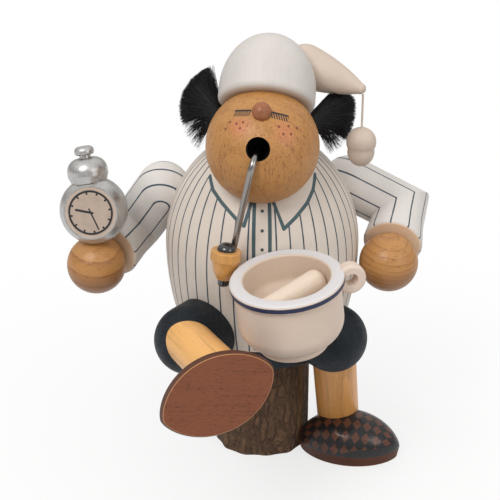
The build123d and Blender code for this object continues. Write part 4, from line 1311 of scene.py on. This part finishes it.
class SMOKER_OT_pot(Operator):
    """Paints the chamber pot with its blue line, painted shade inside and painted light on the rim's top,
    the handle and the roll
    """

    bl_idname = "smoker.pot"
    bl_label = "Pot"

    def execute(self, context):
        c = colours()
        pot, place, ground = paint("Pot Paint", c.pot, tuned(c.pot, 0.85), POT_FOOT, POT_AXIS, POT_ACROSS,
                                   unevenness=0.3, grain_show=0.08, Coat_Weight=0.12, Coat_Roughness=0.3)
        z = pot.split(place)[2]
        reach = pot.out_from_axis(place)
        hand = pot.noise(place, 0.2, 2) * 0.3
        off_line = abs(z + hand - POT_LINE_HEIGHT)
        line = pot.within(off_line, POT_LINE_HALF, POT_LINE_HALF + 0.2)
        line = line * pot.ramp(reach, POT_WALL[1], POT_WALL[1] + 0.3)
        worn = pot.use(handling_wear, Place=place, Amount=0.4)
        # Painted shade: the inside of the pot is painted a darker cream.
        inside_painted_shade = pot.within(reach, POT_WALL[0], POT_WALL[0] + 0.6) * pot.ramp(z, 2.0, 3.0)
        ground = pot.mix(inside_painted_shade * 0.6, ground, (0.6, 0.48, 0.37))
        # Painted light: the top of the rim is painted a cooler, bluish white, as if lit by cool light.
        rim = pot.ramp(z, POT_RIM_HEIGHT, POT_RIM_HEIGHT + 0.4)
        rim = rim * pot.ramp(reach, POT_RIM_REACH, POT_RIM_REACH + 0.6)
        ground = pot.mix(rim * 0.8, ground, (0.66, 0.67, 0.7))
        ground = pot.mix(worn["Mask"], ground, (0.50, 0.40, 0.32))
        pot.colour(pot.over(line, c.pot_line, ground))
        dress(pot, "chamber_pot")
        handle = paint("Handle Paint", c.pot, tuned(c.pot, 0.82), POT_FOOT, POT_AXIS, POT_ACROSS,
                       unevenness=0.4, grain_show=0.2)[0]
        dress(handle, "pot_handle")
        roll = paint("Roll", c.roll, tuned(c.roll, 0.84), *ROLL, unevenness=0.4,
                     grain_show=0.3, relief=0.1)[0]
        dress(roll, "pot_filling")
        return {"FINISHED"}


class SMOKER_OT_fittings(Operator):
    """Finishes the hidden dowels, the bush in the neck and the cone's plate"""

    bl_idname = "smoker.fittings"
    bl_label = "Fittings"

    def execute(self, context):
        c = colours()
        dowel = wood("Dowel Beech", c.pale, c.honey_dark, ring_width=2.0, rings=0.2, flecks=0.4,
                     streaks=0.4)[0]
        dress(dowel, "seat_peg", "leg_pegs", "arm_pegs", "clock_peg", "pot_peg", "tail_peg", "neck_bush")
        plate = Finish("Plate Metal", Metallic=1.0, Roughness=0.35)
        place = plate.place()
        soot = plate.noise(place, 0.12, 4)
        plate.colour(plate.mix(plate.ramp(soot, 0.4, 0.7), (0.55, 0.50, 0.42), (0.20, 0.16, 0.12)))
        plate.roughness(plate.ramp(soot, 0.3, 0.7, 0.3, 0.6))
        dress(plate, "cone_plate")
        return {"FINISHED"}


STEPS = (SMOKER_OT_stage, SMOKER_OT_log, SMOKER_OT_trousers, SMOKER_OT_shins,
         SMOKER_OT_shoes, SMOKER_OT_shirt, SMOKER_OT_sleeves, SMOKER_OT_hands, SMOKER_OT_head,
         SMOKER_OT_nightcap, SMOKER_OT_tassel_cord, SMOKER_OT_hair, SMOKER_OT_pipe, SMOKER_OT_clock,
         SMOKER_OT_pot, SMOKER_OT_fittings)


class SMOKER_PT_finish(Panel):
    """Lists the steps that finish the smoker, with its colours and sizes"""

    bl_idname = "SMOKER_PT_finish"
    bl_label = "Incense Smoker"
    bl_space_type = "VIEW_3D"
    bl_region_type = "UI"
    bl_category = "Smoker"

    def draw(self, context):
        column = self.layout.column(align=True)
        for step in STEPS:
            column.operator(step.bl_idname)
        for settings in (context.scene.smoker_colours, context.scene.smoker_sizes):
            column.separator()
            for name in settings.__annotations__:
                column.prop(settings, name)


CLASSES = (Colours, Sizes, *STEPS, SMOKER_PT_finish)


def register():
    for cls in CLASSES:
        bpy.utils.register_class(cls)
    bpy.types.Scene.smoker_colours = PointerProperty(type=Colours)
    bpy.types.Scene.smoker_sizes = PointerProperty(type=Sizes)


def unregister():
    del bpy.types.Scene.smoker_sizes
    del bpy.types.Scene.smoker_colours
    for cls in reversed(CLASSES):
        bpy.utils.unregister_class(cls)


def main():
    register()
    bpy.ops.smoker.stage()
    bpy.ops.smoker.log()
    bpy.ops.smoker.trousers()
    bpy.ops.smoker.shins()
    bpy.ops.smoker.shoes()
    bpy.ops.smoker.shirt()
    bpy.ops.smoker.sleeves()
    bpy.ops.smoker.hands()
    bpy.ops.smoker.head()
    bpy.ops.smoker.nightcap()
    bpy.ops.smoker.tassel_cord()
    bpy.ops.smoker.hair()
    bpy.ops.smoker.pipe()
    bpy.ops.smoker.clock()
    bpy.ops.smoker.pot()
    bpy.ops.smoker.fittings()


if __name__ == "__main__":
    main()
